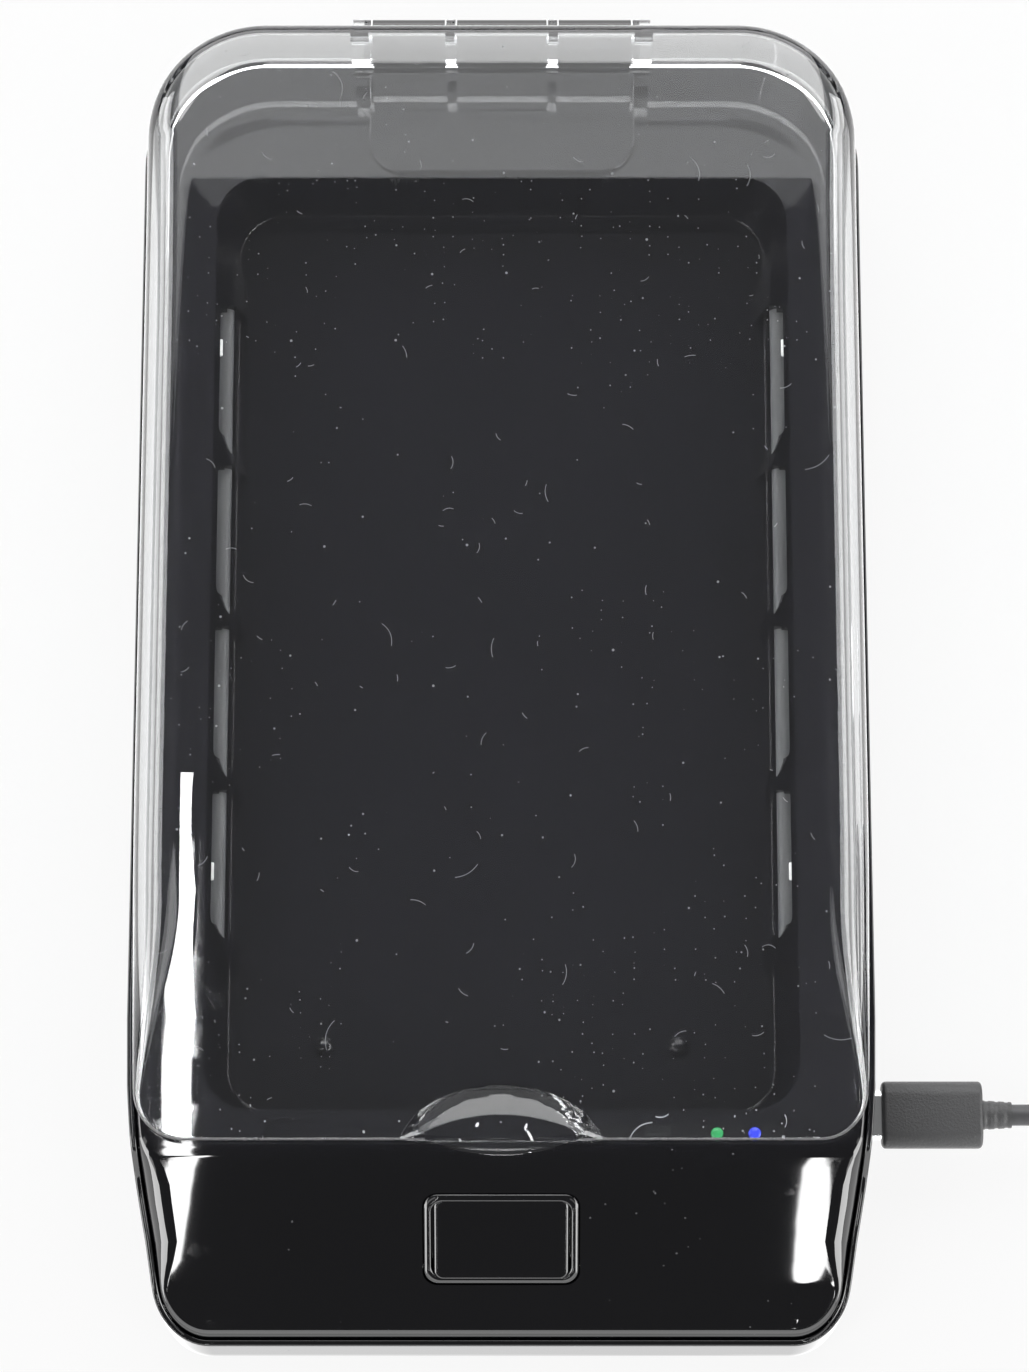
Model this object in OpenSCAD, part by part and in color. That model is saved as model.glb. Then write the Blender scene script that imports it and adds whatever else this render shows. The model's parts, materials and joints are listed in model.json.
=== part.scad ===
// Ultraviolet sanitizer box for a phone: a shallow tub with a sloped control front,
// a gloss chamber between two lamps, and a clear lid that swings on a rear pin.
// Millimetres, +Z up, +Y to the hinge, origin at the middle of the footprint on the table.

/* [Body] */
// Width of the tub across its lip
body_w = 124; // [123:0.5:125]
// Height of the deck that the lid closes on
deck_z = 30; // [29.5:0.1:30.5]
// Height of the low end of the sloped front
slope_low_z = 12; // [11.5:0.1:12.5]
// Thickness of the moulded walls
wall = 2; // [1.9:0.1:2.2]
// Width of the tub's lip round the upper housing
lip = 1.1; // [0.9:0.1:1.2]

/* [Lid] */
// Outside height of the lid
lid_h = 19.7; // [18.5:0.1:21]
// Radius of the lid's top edge
lid_edge_r = 4.3; // [3.5:0.1:5]
// Width of the thumb dish at the top
dish_w = 27; // [25:0.5:29]
// How far the dish cuts back from the lid's front
dish_depth = 6.3; // [5.5:0.1:7]
// How far the thumb lip stands out
thumb_lip = 1.8; // [1.2:0.1:2.2]

/* [Chamber] */
// Half width of the chamber at its mouth
mouth_half_w = 49.3; // [48.5:0.1:49.8]
// Height of the chamber floor
floor_z = 15; // [14.8:0.1:15.5]
// Length of a lamp window
window_l = 22.4; // [20:0.2:23]
// Distance from window to window
window_pitch = 28.4; // [27:0.1:29]
// Diameter of a lamp tube
lamp_d = 3; // [2.6:0.1:3.2]

/* [Button] */
// Width of the button
button_w = 22.6; // [21:0.1:22.6]
// Height of the button, along the slope
button_h = 15; // [13.5:0.1:15]
// Travel of the button
button_travel = 0.8; // [0.4:0.1:0.8]

/* [Hinge] */
// Diameter of the hinge pin
pin_d = 2; // [1.6:0.1:2.4]
// Radius of the knuckles and of the lid's ears
knuckle_r = 2.6; // [2.3:0.1:2.6]

/* [Cable] */
// Diameter of the cable
cord_d = 3.6; // [3.2:0.1:3.7]
// Turns of the coil that puts the spare length away
coil_turns = 6.25; // [4.25:1:6.25]
// Radius of the coil's innermost turn
coil_inner_r = 15.2; // [14.5:0.1:15.2]

/* [Hidden] */
$fn = 64;

gloss_black = [0.02, 0.02, 0.023];
clear = [0.86, 0.9, 0.92, 0.3];
steel = [0.72, 0.73, 0.75];
board_green = [0.05, 0.3, 0.14];

// Tub
half_w = body_w / 2;
front_y = -114;                    // the foot of the front wall
rear_y = 110;
shell_z = 2;                       // underside of the tub
shell_floor = shell_z + 2.2;       // inside bottom of the tub
front_r = 9;
rear_r = 21.5;
taper_l = 44;                      // the sides draw in over this length towards the front
taper_in = 4.5;
front_lean = 0.2;                  // the front wall leans back by this much per mm of height
side_lean = 0.06;
lean_top = 24;                     // above this height the side walls stand upright

// Panel: the deck, a soft bend and the slope
slope_top_y = -81;
slope_low_y = -112;
slope_tan = (deck_z - slope_low_z) / (slope_top_y - slope_low_y);
slope_deg = atan(slope_tan);
bend = 1.8;                        // half length of the soft bend
nest = 6;                          // how deep the upper housing sits in the tub
lip_drop = 0.4;                    // the tub's lip lies this far below the panel
housing_in = lip + 0.15;           // inset of the upper housing from the tub's outside
skirt_in = housing_in + 1.8;
panel_edge_r = 1.2;

// Lid
lid_gap = 0.3;
lid_z = deck_z + lid_gap;
lid_top = lid_z + lid_h;
lid_half_w = 60.6;
lid_front = -80.6;
lid_rear = 108.5;
lid_front_r = 8;
lid_rear_r = 20;
lid_draft = 0.03;
lid_wall = 2;
lid_taper = 0.6;
dish_low_z = 32;
dish_r = (dish_w * dish_w / 4 + dish_depth * dish_depth) / (2 * dish_depth);
dish_y = lid_front + dish_depth - dish_r;
dish_low_r = lid_front - dish_y + 0.2;
thumb_lip_t = 1.7;

// Hinge
axis_y = -front_y - knuckle_r;
axis_z = 34;
ear_x = [24.2, 8.8];               // middles of the wide and the thin lid ears
ear_w = [3.1, 1.6];
ear_gap = 0.25;
running_gap = 0.05;                // between the pin and its bores, all round
block_z = 17.5;
block_t = 3.4;
hinge_screw_x = 16;
hinge_screw_z = 21;

// Chamber and lamps
tray_front = -74.6;
tray_rear = 86.5;
tray_top = deck_z - wall;
tray_wall = 1.6;
tray_under = floor_z - 2;
floor_in = 3.1;                    // the side walls lean in by this much at the floor
window_y = [for (i = [0:3]) -31.9 + window_pitch * i];
window_z = 21.5;
window_h = 8;
claw_y = [for (i = [0:2]) (window_y[i] + window_y[i + 1]) / 2];
claw_in = 1.8;                     // how far a claw between two windows stands out
lamp_x = 48.2;
lamp_z = 20.5;
lamp_y = [-46, 67.5];
lamp_cap_l = 3;
lamp_rest_z = 16.5;
reflector_x = [50.4, 51.9];
reflector_t = 0.6;
reflector_h = 8;

// Front compartment
button_y = -95.6;
button_r = 1.7;
button_gap = 0.3;
bezel_w = [26.2, 16.8];
board_z = 9;
board_t = 1.6;
board_top = board_z + board_t;
board_x = [-46, 52];
board_y = [-95.5, -68.5];
port_y = -74.1;
port_z = board_top + 1.6;
port_x = [52.6, 60.6];
switch_x = 25.7;
switch_y = -78.4;
slot_w = [5.3, 1.7];
light_x = [35.5, 41.7];
light_y = -77.4;
light_d = 2;
strip_x = [12.6, 46.7];
strip_y = [-79.3, -76.1];

// Fasteners and feet, each on both sides
case_screw_at = [[54.6, -64], [50, 96], [44, -100]];
case_post_top = [14, 14, 10];
tray_foot_at = [[36, -56], [36, 14], [36, 78]];
board_post_at = [[42, -91.5], [42, -72.5]];
driver_post_at = [[26.5, 91.5], [26.5, 102.5]];
driver_z = 8;
rubber_foot_at = [[50, -80], [46, 80]];

// Cable
plug_x = 64.3;                     // the grip starts here, just off the tub's side
plug_grip_l = 16.9;
relief_l = 5;
coil_gap = 0.56;                   // between neighbouring turns
coil_pitch = cord_d + coil_gap;
coil_outer_r = coil_inner_r + coil_pitch * coil_turns / 2;
coil_at = [128, -74.6 + coil_outer_r];
far_plug_z = 4;
// Down from the plug's strain relief and along the table to the coil
lead_route = [[86.2, -74.1, port_z], [90, -74.1, port_z], [93, -74.1, 11.8], [97, -74.2, 10.4],
              [101, -74.3, 8.3], [105, -74.4, 5.9], [109, -74.5, 3.7], [113, -74.6, 2.4],
              [117, -74.6, 1.8], [121, -74.6, 1.8], [coil_at.x - cord_d, -74.6, cord_d / 2]];
// Off the coil's outer turn and down to the far plug
tail_x = coil_at.x + coil_outer_r;
tail_y = coil_at.y + cord_d;
tail_route = [[tail_x, tail_y, cord_d / 2 + coil_pitch], [tail_x, tail_y + 4, cord_d / 2 + coil_pitch],
              [tail_x, tail_y + 8, 5.5], [tail_x, tail_y + 12, 4.6],
              [tail_x, tail_y + 16, far_plug_z], [tail_x, tail_y + 20, far_plug_z]];
far_relief_y = tail_y + 20;

// ---- shapes that several parts use ------------------------------------------------------

// Height of the panel over a point that is y from the middle: deck, soft bend, slope.
function panel_z(y) =
    y >= slope_top_y + bend ? deck_z
    : y >= slope_top_y - bend ? deck_z - slope_tan * pow(slope_top_y + bend - y, 2) / (4 * bend)
    : slope_low_z + slope_tan * (y - slope_low_y);

// A side that draws in towards the front by a power curve.
function side_x(w, front, y, draw) = w - draw * pow(max(0, 1 - (y - front) / taper_l), 1.5);

// The right half of a rounded outline, from the front corner round to the rear corner.
// Inset t moves it inwards, and stations are the places along the side that get a point.
function half_outline(w, front, rear, rf, rr, t, draw = 0, stations = [], steps = 8) =
    let (turn = atan(1.5 * draw / taper_l * sqrt(1 - rf / taper_l)),
         fx = side_x(w, front, front + rf * (1 - sin(turn)), draw) - rf * cos(turn))
    concat(
        [for (i = [0:steps]) let (a = (90 - turn) * i / steps - 90)
            [fx + (rf - t) * cos(a), front + rf + (rf - t) * sin(a)]],
        [for (y = stations) [side_x(w, front, y, draw) - t, y]],
        [for (i = [0:steps]) let (a = 90 * i / steps)
            [w - rr + (rr - t) * cos(a), rear - rr + (rr - t) * sin(a)]]);

function at_height(points, z) = [for (p = points) [p.x, p.y, z]];

// A closed surface through rings of points. Each ring is given as its right half, and the
// left half is its mirror. The first and last rings are closed by strips from side to side.
module mirrored_skin(halves) {
    n = len(halves[0]);
    m = 2 * n;
    last = (len(halves) - 1) * m;
    points = [for (h = halves) each concat(h, [for (i = [n - 1:-1:0]) [-h[i].x, h[i].y, h[i].z]])];
    sides = [for (k = [0:len(halves) - 2], i = [0:m - 1])
        let (j = (i + 1) % m, a = k * m, b = a + m)
        each [[a + i, b + j, a + j], [a + i, b + i, b + j]]];
    ends = [for (i = [0:n - 2])
        let (j = m - 1 - i)
        each [[i, i + 1, j - 1], [i, j - 1, j],
              [last + i, last + j - 1, last + i + 1], [last + i, last + j, last + j - 1]]];
    polyhedron(points, concat(sides, ends));
}

// A tube of given diameter swept along a route. Each ring stands square to the route there.
function unit(v) = v / norm(v);
function heading(route, i) = unit(route[min(i + 1, len(route) - 1)] - route[max(i - 1, 0)]);
module tube(route, d, sides) {
    last = (len(route) - 1) * sides;
    points = [for (i = [0:len(route) - 1])
        let (t = heading(route, i), side = unit(cross([0, 0, 1], t)), up = cross(t, side))
        for (s = [0:sides - 1])
            route[i] + d / 2 * (side * cos(360 * s / sides) + up * sin(360 * s / sides))];
    polyhedron(points, concat(
        [for (i = [0:len(route) - 2], s = [0:sides - 1])
            let (a = i * sides + s, b = i * sides + (s + 1) % sides)
            each [[a, b, b + sides], [a, b + sides, a + sides]]],
        [[for (s = [sides - 1:-1:0]) s]],
        [[for (s = [0:sides - 1]) last + s]]));
}

// A rounded rectangle drawn from squares and circles, so that its corners stay true arcs.
module rounded(w, h, r) {
    square([w, h - 2 * r], center = true);
    square([w - 2 * r, h], center = true);
    for (x = [-1, 1], y = [-1, 1]) translate([x * (w / 2 - r), y * (h / 2 - r)]) circle(r);
}

// A block between two corners.
module block(low, high) translate(low) cube(high - low);

module both_sides() for (s = [0, 1]) mirror([s, 0, 0]) children();

// Puts its children on the slope at the button's middle, with +Z out of the slope.
module on_slope() translate([0, button_y, panel_z(button_y)]) rotate([slope_deg, 0, 0]) children();

// Lays a drawing in X and Y against a wall that faces +X, and builds it outwards.
module facing_x(x, y, z, l) translate([x, y, z]) rotate([90, 0, 90]) linear_extrude(l) children();

// A round thing along Y or along X, from one place to another.
module rod_y(d, x, z, from, to) translate([x, from, z]) rotate([-90, 0, 0]) cylinder(d = d, h = to - from);
module rod_x(d, y, z, from, to) translate([from, y, z]) rotate([0, 90, 0]) cylinder(d = d, h = to - from);

// ---- tub ---------------------------------------------------------------------------------

body_stations = [-101, -97, -92, -87, slope_top_y - bend, slope_top_y - bend / 2, slope_top_y,
                 slope_top_y + bend / 2, slope_top_y + bend, -75, -70];
function tub_front(z) = front_y + front_lean * max(0, z - 4);
function tub_side(z) = half_w - side_lean * max(0, lean_top - z);
function tub_half(z, t) = half_outline(tub_side(z), tub_front(z), rear_y, front_r, rear_r, t,
                                       taper_in, body_stations);
// The heights over the outline's points that follow the panel.
panel_line = [for (p = tub_half(slope_low_z, 0)) panel_z(p.y)];
// A ring of the tub, at a share of the way from a low height up to the lip less a drop.
function tub_ring(low, share, drop, t) =
    [for (i = [0:len(panel_line) - 1])
        let (z = low + (panel_line[i] - lip_drop - drop - low) * share, p = tub_half(z, t)[i])
        [p.x, p.y, z]];

module lower_shell() color(gloss_black) difference() {
    union() {
        mirrored_skin([
            tub_ring(shell_z, 0, 0, 2),
            tub_ring(shell_z + 0.6, 0, 0, 0.6),
            for (share = [0, 0.33, 0.67, 1]) tub_ring(shell_z + 2, share, 0, 0),
            tub_ring(shell_floor, 1, 0, lip),
            tub_ring(shell_floor, 1, nest, lip),
            tub_ring(shell_floor, 1, nest, wall),
            tub_ring(shell_floor, 0, 0, wall + 0.3)]);
        posts(case_screw_at, 8, case_post_top);
        posts(board_post_at, 5, [board_z, board_z]);
        posts(driver_post_at, 5, [driver_z, driver_z]);
        both_sides() {
            // rests for the lamp reflectors
            for (y = [-36, 12, 60])
                block([reflector_x[0], y - 1, shell_floor - 0.5], [57, y + 1, lamp_rest_z]);
            rod_y(5.6, hinge_screw_x, hinge_screw_z, 103, rear_y - 1);
        }
    }
    both_sides() {
        for (p = case_screw_at) translate([p.x, p.y, 0]) {
            cylinder(d = 2.6, h = 20);
            cylinder(d = 5.6, h = 8);
        }
        for (p = board_post_at) translate([p.x, p.y, board_z - 4]) cylinder(d = 1.9, h = 5);
        for (p = driver_post_at) translate([p.x, p.y, driver_z - 3.3]) cylinder(d = 1.9, h = 5);
        for (p = rubber_foot_at) translate([p.x, p.y, 0]) cylinder(d = 10.4, h = shell_z + 1);
        rod_y(2.3, hinge_screw_x, hinge_screw_z, 104, rear_y + 1);
    }
    facing_x(57, port_y, port_z, 8) rounded(9.6, 3.8, 1.85);
    // the narrow slot low in the front wall
    block([23.5, front_y - 2, 5], [37, front_y + 6, 7]);
}

module posts(places, d, tops) both_sides() for (i = [0:len(places) - 1])
    translate([places[i].x, places[i].y, shell_floor - 0.5])
        cylinder(d = d, h = tops[i] - shell_floor + 0.5);

module rubber_feet() color([0.08, 0.08, 0.08]) both_sides() for (p = rubber_foot_at)
    translate([p.x, p.y, 0]) cylinder(d = 10, h = shell_z + 1);

module case_screws() color(steel) both_sides() for (i = [0:2])
    translate([case_screw_at[i].x, case_screw_at[i].y, 6.2]) {
        difference() {
            cylinder(d = 5, h = 1.8);
            translate([0, 0, -0.1]) cross_recess();
        }
        translate([0, 0, 1.8]) cylinder(d = 2.2, h = case_post_top[i] - 2.5);
    }

module cross_recess() for (a = [0, 90]) rotate(a) translate([-1.4, -0.3, 0]) cube([2.8, 0.6, 1]);

// ---- upper housing -----------------------------------------------------------------------

// A ring on the panel, inset t from the tub's outside and a drop below the panel.
function panel_ring(drop, t) =
    [for (i = [0:len(panel_line) - 1])
        let (z = panel_z(tub_half(panel_line[i], t)[i].y) - drop, p = tub_half(z, t)[i])
        [p.x, p.y, z]];
// The foot of the skirt, just above the tub's shoulder.
function skirt_ring(t) =
    [for (i = [0:len(panel_line) - 1])
        let (z = panel_line[i] - lip_drop - nest + 0.05, p = tub_half(z, t)[i])
        [p.x, p.y, z]];

module upper_housing() color(gloss_black) difference() {
    union() {
        mirrored_skin([
            panel_ring(wall, skirt_in + 0.8),
            panel_ring(wall + 0.8, skirt_in),
            skirt_ring(skirt_in),
            skirt_ring(housing_in),
            for (a = [0:22.5:90])
                panel_ring(panel_edge_r * (1 - sin(a)), housing_in + panel_edge_r * (1 - cos(a)))]);
        intersection() {
            both_sides() for (i = [0:2])
                translate([case_screw_at[i].x, case_screw_at[i].y, case_post_top[i]]) cylinder(d = 6, h = 20);
            under_panel();
        }
        // bosses for the button's board, and a pad behind the finger crescent
        on_slope() {
            both_sides() translate([17, 0, -6.5]) cylinder(d = 5, h = 5.2);
            block([-15, 10, -3.2], [15, 17, -1.2]);
        }
        // cheeks that hold the lid switch
        for (x = [-7.2, 6]) block([switch_x + x, -82.4, 15], [switch_x + x + 1.2, -77, 28.4]);
    }
    translate([0, (tray_front + tray_rear) / 2, tray_top - 1]) linear_extrude(4)
        rounded(2 * mouth_half_w, tray_rear - tray_front, 8);
    on_slope() {
        translate([0, 0, -4]) linear_extrude(6) rounded(bezel_w.x, bezel_w.y, 2.6);
        both_sides() translate([17, 0, -7]) cylinder(d = 1.9, h = 4.2);
    }
    both_sides() for (i = [0:2]) translate([case_screw_at[i].x, case_screw_at[i].y, 0])
        cylinder(d = 2.3, h = case_post_top[i] + 5.8);
    block([strip_x[0], strip_y[0], deck_z - 1], [strip_x[1], strip_y[1], deck_z + 1]);
    for (x = light_x) translate([x, light_y, 20]) cylinder(d = light_d + 0.1, h = 20);
    switch_slot();
    d_recess();
    finger_crescent();
}

// All that lies well under the panel's surface.
module under_panel() intersection() {
    block([-half_w, front_y, 0], [half_w, rear_y, deck_z - 1.4]);
    on_slope() block([-half_w, -30, -300], [half_w, 300, -1]);
}

module switch_slot() translate([switch_x, switch_y, 25]) linear_extrude(10) square(slot_w, center = true);

// The shallow D-shaped recess in the front deck.
module d_recess() translate([-35.2, -80.1, deck_z - 1]) linear_extrude(2) intersection() {
    circle(4);
    translate([-4, 0]) square([8, 4]);
}

// A crescent under the thumb lip: a thin ring on edge that just dips into the bend.
module finger_crescent() translate([0, -83.4, 27 + 45]) rotate([90, 0, 0])
    rotate_extrude($fn = 180) translate([42, 0]) circle(3);

module indicator_window() color([0.05, 0.05, 0.06]) difference() {
    block([strip_x[0], strip_y[0], deck_z - 1], [strip_x[1], strip_y[1], deck_z]);
    for (x = light_x) translate([x, light_y, 20]) cylinder(d = light_d + 0.1, h = 20);
    switch_slot();
}

module status_light(x) translate([x, light_y, board_top + 0.85])
    cylinder(d = light_d, h = deck_z - board_top - 0.85);
module status_light_green() color([0.35, 0.95, 0.4]) status_light(light_x[0]);
module status_light_blue() color([0.3, 0.5, 1]) status_light(light_x[1]);
module status_chips() color("ivory") for (x = light_x)
    translate([x, light_y, board_top + 0.4]) cube([1.6, 0.8, 0.8], center = true);

module hinge_cover() color(gloss_black) translate([0, 0, deck_z]) linear_extrude(1.2) {
    translate([-23, 93]) square([46, 12.4]);
    translate([-17, 87]) square([34, 7]);
    for (x = [-17, 17]) translate([x, 93]) circle(6);
}

// ---- chamber -----------------------------------------------------------------------------

// The chamber's inside outline at a height: its walls lean in towards the floor.
function lean_at(z) = (tray_top - z) / (tray_top - floor_z);
function tray_half(z, t) = at_height(half_outline(mouth_half_w - floor_in * lean_at(z),
    tray_front + 1.3 * lean_at(z), tray_rear - 1.9 * lean_at(z), 8, 8, t), z);

module chamber_tray() color(gloss_black) difference() {
    union() {
        mirrored_skin([
            tray_half(tray_under, 0.4),
            tray_half(tray_under + 1.2, -tray_wall),
            tray_half(tray_top, -tray_wall),
            tray_half(tray_top, 0),
            for (a = [0:30:90]) tray_half(floor_z + 1.5 * (1 - sin(a)), 1.5 * (1 - cos(a)))]);
        both_sides() {
            for (p = tray_foot_at) translate([p.x, p.y, shell_floor])
                cylinder(d = 6, h = floor_z - shell_floor - 1);
            for (y = claw_y) claw([[0.5, y + 4.1], [-claw_in, y - 2.7], [0.9, y - 2.7], [0.9, y + 4.1]]);
            claw([[0.5, 77.5], [-1.4, 71], [-claw_in, 65.2], [0.9, 65.2], [0.9, 77.5]]);
            claw([[0.5, -42.4], [-claw_in, -47], [-claw_in, -49.8], [0.9, -49.8], [0.9, -42.4]]);
        }
    }
    both_sides() {
        for (y = window_y) facing_x(43, y, window_z, 9) rounded(window_l, window_h, 1.2);
        rod_y(lamp_d + 1, lamp_x, lamp_z, lamp_y[0] - lamp_cap_l - 0.5, lamp_y[1] + lamp_cap_l + 0.5);
    }
}

// A guard that stands out from the right wall and leans with it. Its outline is given
// outwards from the wall's face and along the wall.
module claw(outline) translate([mouth_half_w - floor_in, 0, floor_z])
    rotate([0, atan(floor_in / (tray_top - floor_z)), 0]) translate([0, 0, -0.6])
        linear_extrude(9.3) polygon(outline);

module floor_bumps() color(gloss_black) intersection() {
    both_sides() translate([30, -61.7, floor_z - 0.6]) sphere(1.8);
    block([-40, -70, floor_z], [40, -50, floor_z + 5]);
}

module uv_lamp_right() color([0.8, 0.85, 0.95]) rod_y(lamp_d, lamp_x, lamp_z, lamp_y[0], lamp_y[1]);
module uv_lamp_left() mirror([1, 0, 0]) uv_lamp_right();

module lamp_caps() color("ivory") both_sides() {
    rod_y(lamp_d + 0.4, lamp_x, lamp_z, lamp_y[0] - lamp_cap_l, lamp_y[0]);
    rod_y(lamp_d + 0.4, lamp_x, lamp_z, lamp_y[1], lamp_y[1] + lamp_cap_l);
}

// Clips that stand in the channels and reach through a window round the back of the tube.
module lamp_holders() color("whitesmoke") both_sides() for (y = [-34, 58]) difference() {
    block([lamp_x + 0.3, y - 1.5, lamp_z - 2.1], [reflector_x[1] - reflector_t, y + 1.5, lamp_z + 2.1]);
    rod_y(lamp_d + 0.1, lamp_x, lamp_z, y - 3, y + 3);
}

// A channel that is open towards the chamber.
module lamp_reflector_right() color([0.75, 0.76, 0.78]) difference() {
    block([reflector_x[0], lamp_y[0] - 6, lamp_rest_z],
          [reflector_x[1], lamp_y[1] + 6, lamp_rest_z + reflector_h]);
    block([reflector_x[0] - 1, lamp_y[0] - 7, lamp_rest_z + reflector_t],
          [reflector_x[1] - reflector_t, lamp_y[1] + 7, lamp_rest_z + reflector_h - reflector_t]);
}
module lamp_reflector_left() mirror([1, 0, 0]) lamp_reflector_right();

// ---- lid and hinge -----------------------------------------------------------------------

function lid_half(z, t) = let (d = lid_draft * (z - lid_z))
    at_height(half_outline(lid_half_w - d, lid_front + d, lid_rear - d, lid_front_r, lid_rear_r,
                           t, lid_taper, [-66, -54, -40]), z);
// The lid's shell: up the inside is wall thick, and both top edges are rounded.
function rounding(r, a) = [r * (1 - cos(a)), r * (1 - sin(a))];
inner_r = lid_edge_r - lid_wall;

// The dish is a bowl turned about an upright axis in front of the lid, widening upwards.
function dish_radius(share) = dish_low_r + (dish_r - dish_low_r) * pow(share, 1.3);
module dish_bowl(grow, low) rotate_extrude($fn = 128) polygon(concat(
    [[0, low]],
    [for (s = [0:0.125:1]) [dish_radius(s) + grow, s == 0 ? low : dish_low_z + (lid_top - dish_low_z) * s]],
    [[dish_radius(1) + grow, lid_top + 1], [0, lid_top + 1]]));

module lid() color(clear) difference() {
    union() {
        mirrored_skin([
            for (a = [90:-30:0]) let (d = rounding(inner_r, a))
                lid_half(lid_top - lid_wall - d[1], lid_wall + d[0]),
            lid_half(lid_z, lid_wall),
            lid_half(lid_z, 0),
            for (a = [0:18:90]) let (d = rounding(lid_edge_r, a))
                lid_half(lid_top - d[1], d[0])]);
        // the dish's own wall
        intersection() {
            translate([0, dish_y, 0]) dish_bowl(lid_wall, lid_z);
            block([-25, lid_front + 1, lid_z], [25, -60, lid_top - 1]);
        }
        thumb_lip();
        // the tab that works the switch
        block([switch_x - 2.1, switch_y - 0.5, 26], [switch_x + 2.1, switch_y + 0.5, lid_z + 4]);
        block([switch_x - 2.1, lid_front + 1, lid_z], [switch_x + 2.1, switch_y, lid_z + 4]);
        lid_ears();
    }
    translate([0, dish_y, 0]) dish_bowl(0, dish_low_z);
    rod_x(pin_d + 2 * running_gap, axis_y, axis_z, -30, 30);
}

module thumb_lip() {
    r = (dish_w * dish_w / 4 + thumb_lip * thumb_lip) / (2 * thumb_lip);
    translate([0, lid_front, lid_z]) linear_extrude(thumb_lip_t) intersection() {
        translate([0, r - thumb_lip]) circle(r, $fn = 256);
        translate([-dish_w / 2, -thumb_lip - 1]) square([dish_w, thumb_lip + 2]);
    }
}

module lid_ears() both_sides() for (i = [0, 1]) {
    rod_x(2 * knuckle_r, axis_y, axis_z, ear_x[i] - ear_w[i] / 2, ear_x[i] + ear_w[i] / 2);
    block([ear_x[i] - ear_w[i] / 2, lid_rear - 1, axis_z - knuckle_r],
          [ear_x[i] + ear_w[i] / 2, axis_y, axis_z + knuckle_r]);
}

thin_ear = [ear_x[1] - ear_w[1] / 2 - ear_gap, ear_x[1] + ear_w[1] / 2 + ear_gap];
wide_ear = ear_x[0] - ear_w[0] / 2 - ear_gap;

module hinge_block() color(gloss_black) difference() {
    union() {
        block([-24, rear_y, block_z], [24, rear_y + block_t, axis_z - knuckle_r - 0.8]);
        knuckle(-thin_ear[0], thin_ear[0]);
        both_sides() knuckle(thin_ear[1], wide_ear);
    }
    rod_x(pin_d + 2 * running_gap, axis_y, axis_z, -30, 30);
    both_sides() {
        rod_y(2.4, hinge_screw_x, hinge_screw_z, rear_y - 1, rear_y + 5);
        rod_y(4.4, hinge_screw_x, hinge_screw_z, rear_y + block_t - 1.6, rear_y + 5);
    }
}

module knuckle(from, to) {
    rod_x(2 * knuckle_r, axis_y, axis_z, from, to);
    block([from, rear_y, axis_z - knuckle_r - 2], [to, rear_y + block_t, axis_z]);
}

module hinge_pin() color(steel) rod_x(pin_d, axis_y, axis_z, -26, 26);

module hinge_screws() color(steel) both_sides() difference() {
    union() {
        rod_y(4, hinge_screw_x, hinge_screw_z, rear_y + block_t - 1.6, rear_y + block_t - 0.2);
        rod_y(2, hinge_screw_x, hinge_screw_z, 104.6, rear_y + block_t - 1.6);
    }
    translate([hinge_screw_x, rear_y + block_t - 0.1, hinge_screw_z]) rotate([90, 0, 0]) cross_recess();
}

// ---- button ------------------------------------------------------------------------------

module button_bezel() color(gloss_black) on_slope() difference() {
    union() {
        translate([0, 0, -2.6]) linear_extrude(2.45) rounded(bezel_w.x - 0.1, bezel_w.y - 0.1, 2.55);
        translate([0, 0, -2.6]) linear_extrude(0.8) rounded(bezel_w.x + 1.8, bezel_w.y + 1.8, 3.5);
    }
    translate([0, 0, -4]) linear_extrude(6)
        rounded(button_w + 2 * button_gap, button_h + 2 * button_gap, button_r + button_gap);
}

module button_slab(z, t, edge) translate([0, 0, z]) linear_extrude(t)
    rounded(button_w - 2 * edge, button_h - 2 * edge, button_r - edge / 2);

module power_button() color(gloss_black) on_slope() {
    button_slab(-3, 2.5, 0);
    hull($fn = 32) {
        button_slab(-0.51, 0.21, 0);
        button_slab(0, 0.1, 0.2);
        button_slab(0.2, 0.1, 0.7);
    }
    translate([0, 0, -3.5]) linear_extrude(0.8) rounded(button_w + 2.2, button_h + 2.2, 2);
    translate([0, 0, -5]) cylinder(d = 3.4, h = 2);
}

module tact_switch() color([0.2, 0.2, 0.22]) on_slope() difference() {
    translate([-3, -3, -6.5]) cube([6, 6, 1.8]);
    translate([0, 0, -6.2]) cylinder(d = 4, h = 3);
}

module button_board() color(board_green) on_slope() difference() {
    translate([-20, -7, -6.5 - board_t]) cube([40, 14, board_t]);
    both_sides() translate([17, 0, -9]) cylinder(d = 2, h = 4);
}

module button_board_screws() color(steel) on_slope() both_sides() translate([17, 0, -8.1]) {
    cylinder(d = 1.8, h = 4.8);
    translate([0, 0, -1.2]) difference() {
        cylinder(d = 3.6, h = 1.2);
        translate([0, 0, -0.4]) cross_recess();
    }
}

// ---- electronics -------------------------------------------------------------------------

module main_board() color(board_green) difference() {
    union() {
        block([board_x[0], board_y[0], board_z], [board_x[1], board_y[1], board_top]);
        block([board_x[1] - 1, -81, board_z], [57.9, board_y[1], board_top]);
    }
    both_sides() for (p = board_post_at) translate([p.x, p.y, 5]) cylinder(d = 2.1, h = 10);
}

module board_parts() color([0.12, 0.12, 0.13]) {
    block([-14, -92, board_top], [-7, -85, board_top + 1]);
    block([-30, -93, board_top], [-22, -88, board_top + 4]);
    block([6, -93, board_top], [12, -87, board_top + 2.8]);
    block([-4, -73, board_top], [6, -70, board_top + 1.4]);
    for (x = [-38, -30]) translate([x, -81.5, board_top]) cylinder(d = 6.3, h = 7.7);
    for (x = [-20:4:12]) block([x, -80.6, board_top], [x + 1.6, -79.8, board_top + 0.6]);
}

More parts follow.
